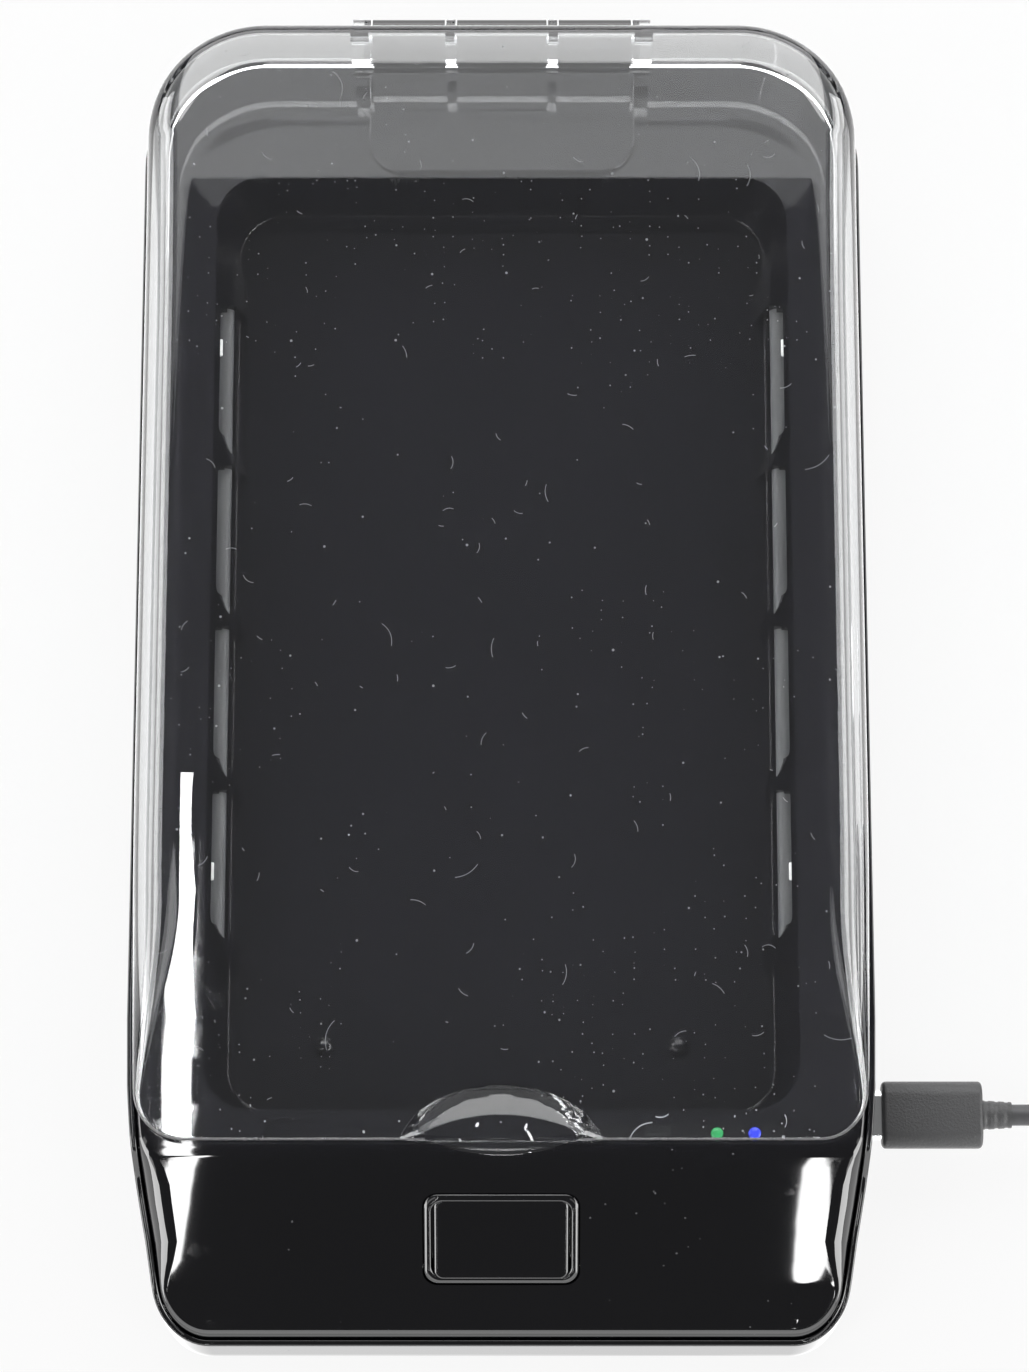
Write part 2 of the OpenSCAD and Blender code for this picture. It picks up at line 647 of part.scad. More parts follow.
module board_screws() color(steel) {
    both_sides() for (p = board_post_at) small_screw(p, board_top, 4.5);
    both_sides() for (p = driver_post_at) small_screw(p, driver_z + board_t, 4);
}
module small_screw(p, z, l) translate([p.x, p.y, z]) {
    difference() {
        cylinder(d = 3.6, h = 1.2);
        translate([0, 0, 0.6]) cross_recess();
    }
    translate([0, 0, -l]) cylinder(d = 1.8, h = l);
}

module usb_port() color(steel) {
    difference() {
        facing_x(port_x[0], port_y, port_z, port_x[1] - port_x[0]) rounded(8.94, 3.2, 1.59);
        facing_x(port_x[0] + 0.8, port_y, port_z, 10) rounded(8.36, 2.6, 1.29);
    }
    block([port_x[0] + 0.5, port_y - 3.1, port_z - 0.35], [port_x[1] - 0.9, port_y + 3.1, port_z + 0.35]);
}

switch_body_z = [18, 24.3];
module interlock_switch() color([0.15, 0.15, 0.16]) difference() {
    block([switch_x - 6, -82.2, switch_body_z[0]], [switch_x + 6, -76.6, switch_body_z[1]]);
    translate([switch_x, switch_y, 21]) linear_extrude(5) square([3.2, 1.9], center = true);
}
// The plunger's top waits just below the lid's tab.
module interlock_plunger() color("firebrick") translate([switch_x, switch_y, 22])
    linear_extrude(3.75) square([2.6, 1.3], center = true);

module lamp_driver_board() color(board_green) difference() {
    block([-30, 89, driver_z], [30, 105, driver_z + board_t]);
    both_sides() for (p = driver_post_at) translate([p.x, p.y, 5]) cylinder(d = 2.1, h = 10);
}

module lamp_transformer() color([0.75, 0.65, 0.2]) translate([0, 97, driver_z + board_t]) {
    translate([-10, -4, 0]) cube([20, 8, 2]);
    translate([-8, -3, 1.9]) cube([16, 6, 4.2]);
    translate([-10, -4, 6]) cube([20, 8, 2]);
}

// ---- cable -------------------------------------------------------------------------------

module cable_plug_shell() color(steel) difference() {
    facing_x(57.8, port_y, port_z, plug_x - 57.8) rounded(8.25, 2.4, 1.19);
    facing_x(57, port_y, port_z, plug_x - 58.3) rounded(7.6, 1.8, 0.89);
}

// A slice of the plug's moulded grip.
module grip_slice(x, l, w, h, r) facing_x(x, port_y, port_z, l) rounded(w, h, r);
module cable_plug_grip() color([0.1, 0.1, 0.105]) hull($fn = 32) {
    grip_slice(plug_x, 0.1, 10.9, 5.6, 2.5);
    grip_slice(plug_x + 0.6, plug_grip_l - 2.2, 11.3, 6, 2.7);
    grip_slice(plug_x + plug_grip_l - 0.1, 0.1, 9.6, 5.2, 2.4);
}

module cable_strain_relief() color([0.1, 0.1, 0.105]) translate([plug_x + plug_grip_l, port_y, port_z])
    rotate([0, 90, 0]) cylinder(d1 = 5, d2 = 4.4, h = relief_l);

module cord_lead() color([0.1, 0.1, 0.105]) tube(lead_route, cord_d, 8);
module cord_tail() color([0.1, 0.1, 0.105]) tube(tail_route, cord_d, 8);

// The coil spirals in on the table, climbs a layer in the half turn where it reverses, and
// spirals out again on top. Its ends run straight for one diameter.
loop_rings = 24;
coil_steps = coil_turns * loop_rings;
function coil_radius(u) = coil_outer_r - (coil_outer_r - coil_inner_r) * (1 - abs(1 - 2 * u));
function coil_height(u) = cord_d / 2
    + coil_pitch * min(1, max(0, (u - 0.5) * coil_turns / 0.5 + 0.5));
coil_route = concat(
    [[coil_at.x - cord_d, coil_at.y - coil_outer_r, cord_d / 2]],
    [for (k = [0:coil_steps]) let (u = k / coil_steps, a = 360 * k / loop_rings - 90)
        [coil_at.x + coil_radius(u) * cos(a), coil_at.y + coil_radius(u) * sin(a), coil_height(u)]],
    [[tail_x, tail_y, cord_d / 2 + coil_pitch]]);
// The least gap between one turn and another, measured from each point to the runs between
// the points that lie more than a third of a turn away.
function to_run(p, a, b) = let (d = b - a) norm(p - a - d * max(0, min(1, (p - a) * d / (d * d))));
least_gap = min([for (i = [0:3:len(coil_route) - 1], j = [i + loop_rings / 3:len(coil_route) - 2])
    to_run(coil_route[i], coil_route[j], coil_route[j + 1])]) - cord_d;

module cord_coil() {
    echo(coil_least_gap = least_gap);
    color([0.1, 0.1, 0.105]) tube(coil_route, cord_d, 6);
}

module far_plug_relief() color([0.1, 0.1, 0.105]) translate([tail_x, far_relief_y, far_plug_z])
    rotate([-90, 0, 0]) cylinder(d1 = 4.4, d2 = 5.6, h = 6);

module facing_y(y, l) translate([tail_x, far_relief_y + y + l, far_plug_z]) rotate([90, 0, 0])
    linear_extrude(l) children();
module far_plug_grip() color([0.1, 0.1, 0.105]) hull($fn = 32) {
    facing_y(6, 0.1) rounded(11, 6.4, 2.6);
    facing_y(8.5, 22.5) rounded(15, 8, 2.6);
    facing_y(31.5, 0.1) rounded(14.4, 7.4, 2.4);
}
module far_plug_shell() color(steel) {
    difference() {
        facing_y(31.6, 18.6) square([12, 4.5], center = true);
        facing_y(32.4, 20) square([11.4, 3.9], center = true);
    }
    facing_y(32, 17.4) translate([0, 1]) square([11.4, 1.9], center = true);
}

// ---- what is drawn -----------------------------------------------------------------------

lower_shell();
upper_housing();
chamber_tray();
floor_bumps();
uv_lamp_left();
uv_lamp_right();
lamp_caps();
lamp_holders();
lamp_reflector_left();
lamp_reflector_right();
lid();
hinge_block();
hinge_pin();
hinge_screws();
hinge_cover();
indicator_window();
status_light_green();
status_light_blue();
status_chips();
button_bezel();
power_button();
button_board();
tact_switch();
button_board_screws();
main_board();
board_parts();
usb_port();
board_screws();
interlock_switch();
interlock_plunger();
lamp_driver_board();
lamp_transformer();
case_screws();
rubber_feet();
cable_plug_shell();
cable_plug_grip();
cable_strain_relief();
cord_lead();
cord_coil();
cord_tail();
far_plug_relief();
far_plug_grip();
far_plug_shell();
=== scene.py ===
# %% [markdown]
# # A sanitizer box for phones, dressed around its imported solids
# The construction comes from CAD, as a set of nodes that ride on named bodies. This script
# gives the visible pieces the fine curves and the finishes of the real object: polished
# black mouldings, a clear lid, lamp tubes and a soft cable. Lengths below are millimetres,
# because the drawing is in millimetres, and one function turns them into metres.

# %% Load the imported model
import json
import math

import bmesh
import bpy
import numpy as np
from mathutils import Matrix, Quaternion, Vector


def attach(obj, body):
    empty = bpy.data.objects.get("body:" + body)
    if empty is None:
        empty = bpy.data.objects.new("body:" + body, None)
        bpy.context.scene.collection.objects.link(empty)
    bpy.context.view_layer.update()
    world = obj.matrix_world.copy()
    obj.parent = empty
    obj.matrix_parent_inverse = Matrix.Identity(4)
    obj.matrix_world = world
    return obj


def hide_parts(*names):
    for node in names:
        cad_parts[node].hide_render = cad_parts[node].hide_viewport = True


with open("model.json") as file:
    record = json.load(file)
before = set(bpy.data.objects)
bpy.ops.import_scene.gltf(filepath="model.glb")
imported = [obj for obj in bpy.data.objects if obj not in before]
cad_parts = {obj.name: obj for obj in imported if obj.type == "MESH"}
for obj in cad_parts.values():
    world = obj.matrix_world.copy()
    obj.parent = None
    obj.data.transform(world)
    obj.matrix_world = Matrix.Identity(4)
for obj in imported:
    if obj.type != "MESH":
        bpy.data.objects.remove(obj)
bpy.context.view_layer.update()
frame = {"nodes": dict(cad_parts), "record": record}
nodes = frame["nodes"]
MM = 0.001

# %% [markdown]
# ## The camera and the light
# The photographer stood over the box and looked almost straight down, so the camera hangs
# 0.66 m above the table and leans by twelve degrees. A long lens keeps the sides parallel.
# Gloss black shows nothing but what it mirrors, so the lights are placed by reflection. A
# wide panel above the rear mirrors in the back of the lid with a straight edge, and a lower
# one brightens the lid's rolled rear. Low cards at the sides and in front follow the rounded
# edges, the dish and the button's frame. Narrow strips mirror as upright streaks.

# %% Camera
camera = bpy.data.objects.new("camera", bpy.data.cameras.new("camera"))
bpy.context.scene.collection.objects.link(camera)
camera.location = (0.0022, -0.139, 0.656)
camera.rotation_euler = (math.radians(12.2), 0, 0)
camera.data.sensor_width = 36
camera.data.lens = 99.7
bpy.context.scene.camera = camera
bpy.context.scene.view_settings.view_transform = "Standard"


# %% Light cards
def light_card(name, centre, target, size, radiance, only_mirrored=True, shape="RECTANGLE", roll=0.0):
    """A rectangle or ellipse that glows evenly. A card of area A that glows with radiance L
    gives pi times A times L watts. A card that is only mirrored throws no light on dull
    surfaces. The roll, in degrees, turns it about the line to its target."""
    data = bpy.data.lights.new(name, "AREA")
    data.shape = shape
    data.size, data.size_y = size
    area = size[0] * size[1] * (math.pi / 4 if shape == "ELLIPSE" else 1)
    data.energy = math.pi * area * radiance
    card = bpy.data.objects.new(name, data)
    bpy.context.scene.collection.objects.link(card)
    card.location = centre
    card.visible_diffuse = not only_mirrored
    aim = (Vector(target) - Vector(centre)).to_track_quat("-Z", "Y")
    card.rotation_euler = (aim @ Quaternion((0, 0, 1), math.radians(roll))).to_euler()


def side_card(name, side, tilt=69, spread=24, radiance=7, length=0.9, middle=0.25):
    """A card 1 m off the box, at a tilt from straight up towards one side, in degrees. Its
    spread is the angle that it fills, and its middle lies a little to the rear, where the
    lid's long edges mirror it for the camera."""
    across, up = math.sin(math.radians(tilt)), math.cos(math.radians(tilt))
    light_card(name, (side * across, middle, up), (0, middle, 0.04),
               (length, 2 * math.tan(math.radians(spread / 2))), radiance)


def strip_light(name, x, width, angles, radiance, cards=3, start=(-0.07, 0.04)):
    """A narrow strip of cards in an arc 1 m off the lid's front, from one angle off the
    vertical to another, in degrees. It is mirrored as one upright streak."""
    step = (angles[1] - angles[0]) / cards
    length = 2.02 * math.tan(math.radians(step / 2))
    for i in range(cards):
        angle = math.radians(angles[0] + step * (i + 0.5))
        centre = (x, start[0] - math.sin(angle), start[1] + math.cos(angle))
        light_card(f"{name}_{i}", centre, (x, *start), (width, length), radiance)


STREAK = 26
light_card("rear_panel", (0, 1.14, 1.05), (0, 1.14, 0), (2.2, 1.4), 1.35, only_mirrored=False)
light_card("left_card", (-0.62, -0.42, 0.9), (0, 0, 0.03), (0.35, 0.9), 2.2, only_mirrored=False)
light_card("right_card", (0.75, -0.5, 0.8), (0, 0, 0.03), (0.3, 0.8), 1.6, only_mirrored=False)
light_card("rear_low", (0, 0.92, 0.614), (0, 0.1, 0.04), (1.5, 1.15), 4.5)
light_card("front_low", (0, -1.15, 0.2), (0, -0.08, 0.04), (1.7, 0.44), 3.2)
side_card("left_outer", -1)
side_card("right_outer", 1)
strip_light("left_strip", -0.1415, 0.0125, (-12, 51), STREAK)
light_card("left_streak", (-0.1395, -0.903, 0.6), (-0.054, -0.082, 0.03), (0.0125, 0.18), STREAK,
           shape="ELLIPSE", roll=-3.5)
light_card("right_streak", (0.1285, -0.927, 0.57), (0.049, -0.094, 0.023), (0.0145, 0.108), STREAK,
           shape="ELLIPSE", roll=-7)
light_card("left_front", (-0.88, -0.6, 0.33), (0, -0.09, 0.03), (0.8, 0.6), 11)
light_card("right_front", (0.88, -0.6, 0.33), (0, -0.09, 0.03), (0.8, 0.6), 11)

# %% [markdown]
# ## Shader maths as Python
# A material is a graph, but its sums read best as sums. This small class wraps one output
# socket, and each operator adds the Math node that works it out. All other nodes come from
# one method, which takes the node's type, its settings and what goes into its sockets.


# %% A socket that can be used in a sum
class Value:
    def __init__(self, tree, socket):
        self.tree, self.socket = tree, socket

    def math(self, operation, first, second=0.0):
        node = self.tree.nodes.new("ShaderNodeMath")
        node.operation = operation
        for slot, value in enumerate((first, second)):
            join(self.tree, node.inputs[slot], value)
        return Value(self.tree, node.outputs[0])

    def __add__(self, other):
        return self.math("ADD", self, other)

    def __sub__(self, other):
        return self.math("SUBTRACT", self, other)

    def __rsub__(self, other):
        return self.math("SUBTRACT", other, self)

    def __mul__(self, other):
        return self.math("MULTIPLY", self, other)

    def __gt__(self, other):
        return self.math("GREATER_THAN", self, other)

    def __lt__(self, other):
        return self.math("LESS_THAN", self, other)

    def __pow__(self, other):
        return self.math("POWER", self, other)

    def __abs__(self):
        return self.math("ABSOLUTE", self)

    __radd__ = __add__
    __rmul__ = __mul__

    def clamped(self):
        return self.math("MINIMUM", self.math("MAXIMUM", self, 0.0), 1.0)


def join(tree, target, value):
    """Links a socket, or sets the number or colour that stands on it."""
    if isinstance(value, Value):
        tree.links.new(value.socket, target)
    elif isinstance(value, (tuple, list)) and len(value) == 3 and target.type == "RGBA":
        target.default_value = (*value, 1)
    else:
        target.default_value = value


# %% A finish: one material and the means to build its graph
finishes = {}


class Finish:
    def __init__(self, name, **constants):
        finishes[name] = self
        self.material = bpy.data.materials.new(name)
        self.material.use_nodes = True
        self.tree = self.material.node_tree
        self.shader = self.tree.nodes["Principled BSDF"]
        self.output = self.tree.nodes["Material Output"]
        self.place = self.add("ShaderNodeTexCoord", out="Object")
        self.set(**constants)

    def add(self, kind, settings=None, out=0, **sockets):
        """Adds a node: first its settings, then its sockets by name, and gives one output."""
        node = self.tree.nodes.new(kind)
        for key, value in (settings or {}).items():
            setattr(node, key, value)
        for key, value in sockets.items():
            join(self.tree, named(node.inputs, key), value)
        return Value(self.tree, node.outputs[out])

    def set(self, **sockets):
        """Sets or links sockets of the main shader."""
        for key, value in sockets.items():
            join(self.tree, named(self.shader.inputs, key), value)
        return self

    def noise(self, scale, detail=2.0, roughness=0.5, place=None):
        return self.add("ShaderNodeTexNoise", Vector=place or self.place, Scale=scale,
                        Detail=detail, Roughness=roughness)

    def parts(self, vector):
        """The three numbers of a vector or colour."""
        split = self.add("ShaderNodeSeparateXYZ", Vector=vector).socket.node
        return [Value(self.tree, socket) for socket in split.outputs]

    def stretched(self, scale):
        """The object's own coordinates, stretched."""
        return self.add("ShaderNodeMapping", Vector=self.place, Scale=scale)

    def blend(self, factor, first, second):
        """A colour between two others."""
        node = self.tree.nodes.new("ShaderNodeMix")
        node.data_type = "RGBA"
        join(self.tree, node.inputs["Factor"], factor)
        for socket, value in zip([s for s in node.inputs if s.type == "RGBA"], (first, second)):
            join(self.tree, socket, value)
        return Value(self.tree, next(s for s in node.outputs if s.type == "RGBA"))

    def bump(self, height, depth, strength=1.0):
        self.set(Normal=self.add("ShaderNodeBump", Height=height, Distance=depth, Strength=strength))
        return self

    def lay(self, factor, shader):
        """Lays another shader over what the material shows so far, where factor is 1."""
        mixed = self.tree.nodes.new("ShaderNodeMixShader")
        join(self.tree, mixed.inputs[0], factor)
        self.tree.links.new(self.output.inputs[0].links[0].from_socket, mixed.inputs[1])
        self.tree.links.new(shader.socket, mixed.inputs[2])
        self.tree.links.new(mixed.outputs[0], self.output.inputs[0])

    def over(self, factor, colour, roughness=0.8):
        """Lays a dull layer, such as dust, over the main shader."""
        self.lay(factor, self.add("ShaderNodeBsdfDiffuse", Color=colour, Roughness=roughness))


def named(sockets, key):
    """Finds a socket by its name, with underscores for blanks."""
    wanted = key.replace("_", " ").lower()
    return next(s for s in sockets if s.name.lower() == wanted and s.enabled)


# %% [markdown]
# ## The finishes
# Polished black plastic is never a plain black: moulding leaves a faint ripple, fingers
# leave duller patches, and dust settles on it. Each of these is a small layer of noise, and
# each is weak, because together they must still read as one clean gloss.


# %% Dust and hair scratches that several finishes share
def dust_mask(finish, density=0.5):
    """Specks: where a fine cell's centre is near, and only in some of the cells."""
    specks = finish.add("ShaderNodeTexVoronoi", out="Distance", Vector=finish.place, Scale=420) < 0.075
    patches = finish.noise(60, 2) > (0.62 - 0.1 * density)
    return specks * patches


def scattered(finish, per_metre, seed):
    """One item a cell: the place relative to the cell's own point, and the cell's two random
    numbers. All of it is seen from above, so that walls get none of it."""
    moved = finish.add("ShaderNodeMapping", Vector=finish.place, Location=(seed, seed * 0.7, 0))
    cell = {"voronoi_dimensions": "2D", "feature": "F1"}
    point = finish.add("ShaderNodeTexVoronoi", cell, out="Position", Vector=moved, Scale=per_metre)
    random = finish.add("ShaderNodeTexVoronoi", cell, out="Color", Vector=moved, Scale=per_metre)
    x, y = (here - middle for here, middle in zip(finish.parts(moved)[:2], finish.parts(point)))
    return x, y, finish.parts(random)


def specks(finish, per_metre, radius, share, seed):
    """Round specks with radii up to the given one, in a share of the cells."""
    x, y, (first, second, third) = scattered(finish, per_metre, seed)
    return (x * x + y * y < (second * radius) ** 2.0) * (first < share)


def hairs(finish, per_metre, length, share, seed, thickness=0.00005):
    """Short hairs: each is a stretch of a parabola v = b u u in axes that are turned by the
    cell's random number, and is drawn where |v - b u u| is less than its half thickness."""
    x, y, (first, second, third) = scattered(finish, per_metre, seed)
    turn = first * 37.0
    cos, sin = turn.math("COSINE", turn), turn.math("SINE", turn)
    u, v = x * cos + y * sin, y * cos - x * sin
    line = abs(v - (third - 0.5) * (1.6 / length) * u * u) < thickness
    return line * (abs(u) < second * length * 0.5) * (third < share)


def gloss_black(name, base, roughness, ripple=0.000006, dust=0.5):
    """Polished moulded plastic."""
    finish = Finish(name, IOR=1.52, Specular_IOR_Level=0.5)
    smears = finish.noise(14, 4, 0.6)
    fine = finish.noise(220, 2)
    finish.set(Base_Color=finish.blend(smears, base, tuple(c * 1.5 + 0.001 for c in base)))
    finish.set(Roughness=(roughness + smears * 0.014 + (fine > 0.66) * 0.012))
    finish.bump(finish.noise(40, 3), ripple)
    if dust:
        finish.over(dust_mask(finish, dust) * 0.35, (0.6, 0.6, 0.62))
    return finish


gloss_black("gloss_black", (0.004, 0.004, 0.0055), 0.012)
mirror = gloss_black("mirror_black", (0.004, 0.004, 0.0055), 0.01, 0.000003, 0.2)
mirror.set(Specular_IOR_Level=0.3)
gloss_black("button_black", (0.004, 0.004, 0.0055), 0.015)
gloss_black("smoked_window", (0.006, 0.006, 0.007), 0.05)

# %% [markdown]
# The lid is one clear moulding of acrylic. True refraction through walls of real thickness
# makes the bright bands along its sides, because there the eye looks through to the table.
# A lamp's light should still reach the chamber, so the lid casts no hard shadow. Dust lies
# only on its top, which falls as a parabola in front of the brow.

# %% Clear plastic
LID_TOP, BROW_Y, FALL, DUST_DEPTH = 50.0, -20.0, 0.00414, 0.8
clear = Finish("clear_plastic", Base_Color=(0.97, 0.98, 0.985), IOR=1.49, Transmission_Weight=1.0)
clear.set(Roughness=(clear.noise(25, 3) > 0.6) * 0.012 + (clear.noise(160, 1) > 0.7) * 0.02)
clear.bump(clear.noise(9, 2), 0.00002, 0.6)
_, along, height = clear.parts(clear.place)
ahead = along * -1.0 + BROW_Y * MM
fallen = ahead.math("MAXIMUM", ahead, 0.0) ** 2.0 * (FALL / MM)
on_top = height > ((LID_TOP - DUST_DEPTH) * MM - fallen)
drifts = clear.noise(22, 3, 0.6)
settled = (specks(clear, 610, 0.00012, 0.25, 3.1) * (drifts > 0.53)
           + specks(clear, 170, 0.00022, 0.22, 7.7)
           + hairs(clear, 150, 0.0022, 0.22, 1.3) + hairs(clear, 75, 0.005, 0.2, 5.9))
clear.over(settled.clamped() * on_top * 0.6, (0.75, 0.76, 0.78))
clear.lay(clear.add("ShaderNodeLightPath", out="Is Shadow Ray"),
          clear.add("ShaderNodeBsdfTransparent", Color=(0.9, 0.91, 0.92)))

# %% Glass of the lamps, with the dull bloom of a coating that isn't lit
glass = Finish("lamp_glass", IOR=1.46, Specular_IOR_Level=0.12)
bloom = glass.noise(90, 3)
glass.set(Base_Color=glass.blend(bloom, (0.07, 0.07, 0.073), (0.12, 0.12, 0.123)),
          Roughness=0.25 + bloom * 0.15)


# %% Metals, rubbers and dull plastics
def metal(name, base, roughness, grain=(4, 400, 400)):
    """Plated or brushed metal: noise drawn out along one way gives the grain."""
    finish = Finish(name, Metallic=1.0)
    brushed = finish.noise(1, 4, 0.7, finish.stretched(grain))
    stain = finish.noise(70, 3)
    finish.set(Base_Color=finish.blend(stain, base, tuple(c * 0.82 for c in base)))
    finish.set(Roughness=roughness + brushed * 0.14)
    return finish.bump(brushed, 0.00001)


def dull(name, base, roughness, grain_scale=900, depth=0.00003, worn=1.25):
    """Moulded plastic or rubber with a fine eroded grain and slightly paler wear."""
    finish = Finish(name, Specular_IOR_Level=0.4)
    grain = finish.noise(grain_scale, 3, 0.6)
    wear = finish.noise(45, 4, 0.6)
    finish.set(Base_Color=finish.blend(wear, base, tuple(min(1, c * worn + 0.004) for c in base)))
    finish.set(Roughness=roughness + (grain - 0.5) * 0.25)
    return finish.bump(grain, depth)


metal("steel", (0.6, 0.61, 0.63), 0.22)
metal("bright_steel", (0.78, 0.79, 0.8), 0.12)
metal("reflector", (0.72, 0.73, 0.74), 0.3, (400, 4, 400))
dull("pale_plastic", (0.72, 0.72, 0.7), 0.4)
dull("lamp_base", (0.76, 0.73, 0.66), 0.5)
dull("component_plastic", (0.02, 0.02, 0.022), 0.45)
dull("chip_plastic", (0.8, 0.77, 0.66), 0.4)
dull("switch_plastic", (0.03, 0.03, 0.032), 0.4)
dull("plunger_red", (0.02, 0.008, 0.008), 0.45)
dull("foot_rubber", (0.018, 0.018, 0.018), 0.75, 700, 0.00006)
dull("cable_rubber", (0.062, 0.062, 0.066), 0.5, 1400, 0.00005, 1.35)
dull("grip_rubber", (0.05, 0.05, 0.052), 0.5, 2300, 0.00012, 1.5)

# %% Circuit board: a green mask with paler traces in a grid and bright pads
board = Finish("circuit_board", Roughness=0.35)
weave = board.noise(600, 2)
traces = board.add("ShaderNodeTexBrick", {"offset": 0.37}, out="Fac", Vector=board.place,
                   Scale=160, Mortar_Size=0.08, Mortar_Smooth=0.1)
board.set(Base_Color=board.blend(traces, board.blend(weave, (0.006, 0.075, 0.03), (0.01, 0.1, 0.04)),
                                 (0.02, 0.17, 0.06)))
board.bump(traces + weave * 0.3, 0.00004)

# %% Transformer tape: fine lengthwise streaks on amber film
tape = Finish("transformer")
streaks = tape.noise(1, 3, 0.6, tape.stretched((700, 60, 700)))
tape.set(Base_Color=tape.blend(streaks, (0.55, 0.36, 0.05), (0.7, 0.5, 0.1)),
         Roughness=0.25 + streaks * 0.2)


# %% Lit light pipes: deep colours, and paler specks in their glow that are painted glints
def lit(name, colour, strength):
    finish = Finish(name, Roughness=0.25, IOR=1.5, Emission_Strength=strength)
    speckle = finish.noise(900, 2)
    paler, painted_glint = ([min(1, c * gain + lift) for c in colour]
                        for gain, lift in ((1.4, 0), (2.2, 0.06)))
    # The base colour is paler where the noise is high; where it is highest the glow turns paler too, as
    # painted glints.
    return finish.set(Base_Color=finish.blend(speckle, colour, paler),
                      Emission_Color=finish.blend(speckle > 0.6, colour, painted_glint))


lit("green_light", (0.006, 0.17, 0.045), 0.3)
lit("blue_light", (0.012, 0.025, 0.42), 0.35)
print(len(finishes), "finishes")

# %% [markdown]
# Every node that is shown as it is gets the finish that the record names for it. Pieces that
# replace a node do the same later on.

# %% Dress the CAD nodes
slot_of = {part["node"]: part["material_slot"] for part in frame["record"]["subparts"]}
for name, node in nodes.items():
    node.data.materials.clear()
    node.data.materials.append(finishes[slot_of[name]].material)

# %% [markdown]
# ## Surfaces from arrays
# A moulded shell is a stack of closed outlines, each a little further in or further up than
# the one before. The outline is worked out for its right half only, and the left half is its
# mirror image. Since the halves share their depths, strips from side to side close the
# bottom and the top, and these strips can bend, which a single flat face could not.


# %% Meshes out of grids
def add_mesh(name, points, faces, finish, body, smooth=35):
    """Builds a mesh from points in millimetres, and hangs it on a body."""
    mesh = bpy.data.meshes.new(name)
    places = np.asarray(points, float).reshape(-1, 3) * MM
    mesh.from_pydata(places.tolist(), [], [list(map(int, face)) for face in faces])
    piece = bpy.data.objects.new(name, mesh)
    bpy.context.scene.collection.objects.link(piece)
    if finish:
        mesh.materials.append(finishes[finish].material)
        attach(piece, body)
    smooth_by_angle(piece, smooth)
    return piece


def smooth_by_angle(piece, angle):
    """Smooth faces, with sharp edges where two faces meet at more than the angle."""
    piece.data.polygons.foreach_set("use_smooth", np.ones(len(piece.data.polygons), bool))
    piece.data.set_sharp_from_angle(angle=math.radians(angle))
    piece.data.update()


def grid_faces(rows, columns):
    """Quads between neighbouring rows that run once round, counter-clockwise."""
    row, column = np.meshgrid(np.arange(rows - 1), np.arange(columns), indexing="ij")
    start, turn = row * columns + column, row * columns + (column + 1) % columns
    return np.stack([start, turn, turn + columns, start + columns], -1).reshape(-1, 4)


def closed_faces(rows, columns):
    """The same, with one face across the first row and one across the last."""
    column = np.arange(columns)
    return [*grid_faces(rows, columns), column[::-1], (rows - 1) * columns + column]


def skin(name, halves, finish, body, smooth=35):
    """A closed shell through rings whose right halves are given as an array of rings by
    points by 3. It ends in strips from side to side at both ends."""
    halves = np.asarray(halves, float)
    rings = np.concatenate([halves, halves[:, ::-1] * (-1, 1, 1)], 1)
    count, around = rings.shape[:2]
    i = np.arange(around // 2 - 1)
    j = around - 1 - i
    last = (count - 1) * around
    first_cap = np.stack([j, j - 1, i + 1, i], -1)
    last_cap = last + np.stack([i, i + 1, j - 1, j], -1)
    faces = np.concatenate([grid_faces(count, around), first_cap, last_cap])
    return add_mesh(name, rings, faces, finish, body, smooth)


def revolve(name, profile, centre, finish=None, body=None, steps=96, smooth=35):
    """Turns a profile of (radius, height) pairs about an upright axis; it starts and ends on
    the axis."""
    radius, height = np.asarray(profile, float).T
    angle = np.linspace(0, 2 * np.pi, steps, endpoint=False)
    rings = np.stack([radius[1:-1, None] * np.cos(angle) + centre[0],
                      radius[1:-1, None] * np.sin(angle) + centre[1],
                      np.broadcast_to(height[1:-1, None], (len(radius) - 2, steps))], -1)
    points = np.concatenate([rings.reshape(-1, 3), [[*centre, height[0]], [*centre, height[-1]]]])
    low, high = len(points) - 2, len(points) - 1
    k = np.arange(steps)
    fan_low = np.stack([(k + 1) % steps, k, np.full(steps, low)], -1)
    top = (len(radius) - 3) * steps
    fan_high = np.stack([top + k, top + (k + 1) % steps, np.full(steps, high)], -1)
    faces = [*grid_faces(len(radius) - 2, steps), *fan_low, *fan_high]
    return add_mesh(name, points, faces, finish, body, smooth)


def prism(name, outline, low, high, finish=None, body=None, place=None, smooth=35):
    """An outline in the plane, counter-clockwise, carried from one height to another. place
    moves the points afterwards."""
    outline = np.asarray(outline, float)
    count = len(outline)
    points = np.concatenate([np.column_stack([outline, np.full(count, z)]) for z in (low, high)])
    points = place(points) if place else points
    return add_mesh(name, points, closed_faces(2, count), finish, body, smooth)


# %% Outlines
def arc(centre, radius, start, end, steps):
    """Points on a circle from one angle to another, in degrees."""
    angle = np.radians(np.linspace(start, end, steps + 1))
    return np.column_stack([centre[0] + radius * np.cos(angle), centre[1] + radius * np.sin(angle)])


def disc(x, y, diameter, steps=48):
    return arc((x, y), diameter / 2, 0, 360, steps)[:-1]


def rounded(width, depth, radius, x=0.0, y=0.0, steps=10):
    """A rectangle with round corners: four quarter circles one after the other."""
    w, d = width / 2 - radius, depth / 2 - radius
    return np.concatenate([arc((x + sx * w, y + sy * d), radius, a, a + 90, steps)
                           for sx, sy, a in ((1, -1, -90), (1, 1, 0), (-1, 1, 90), (-1, -1, 180))])


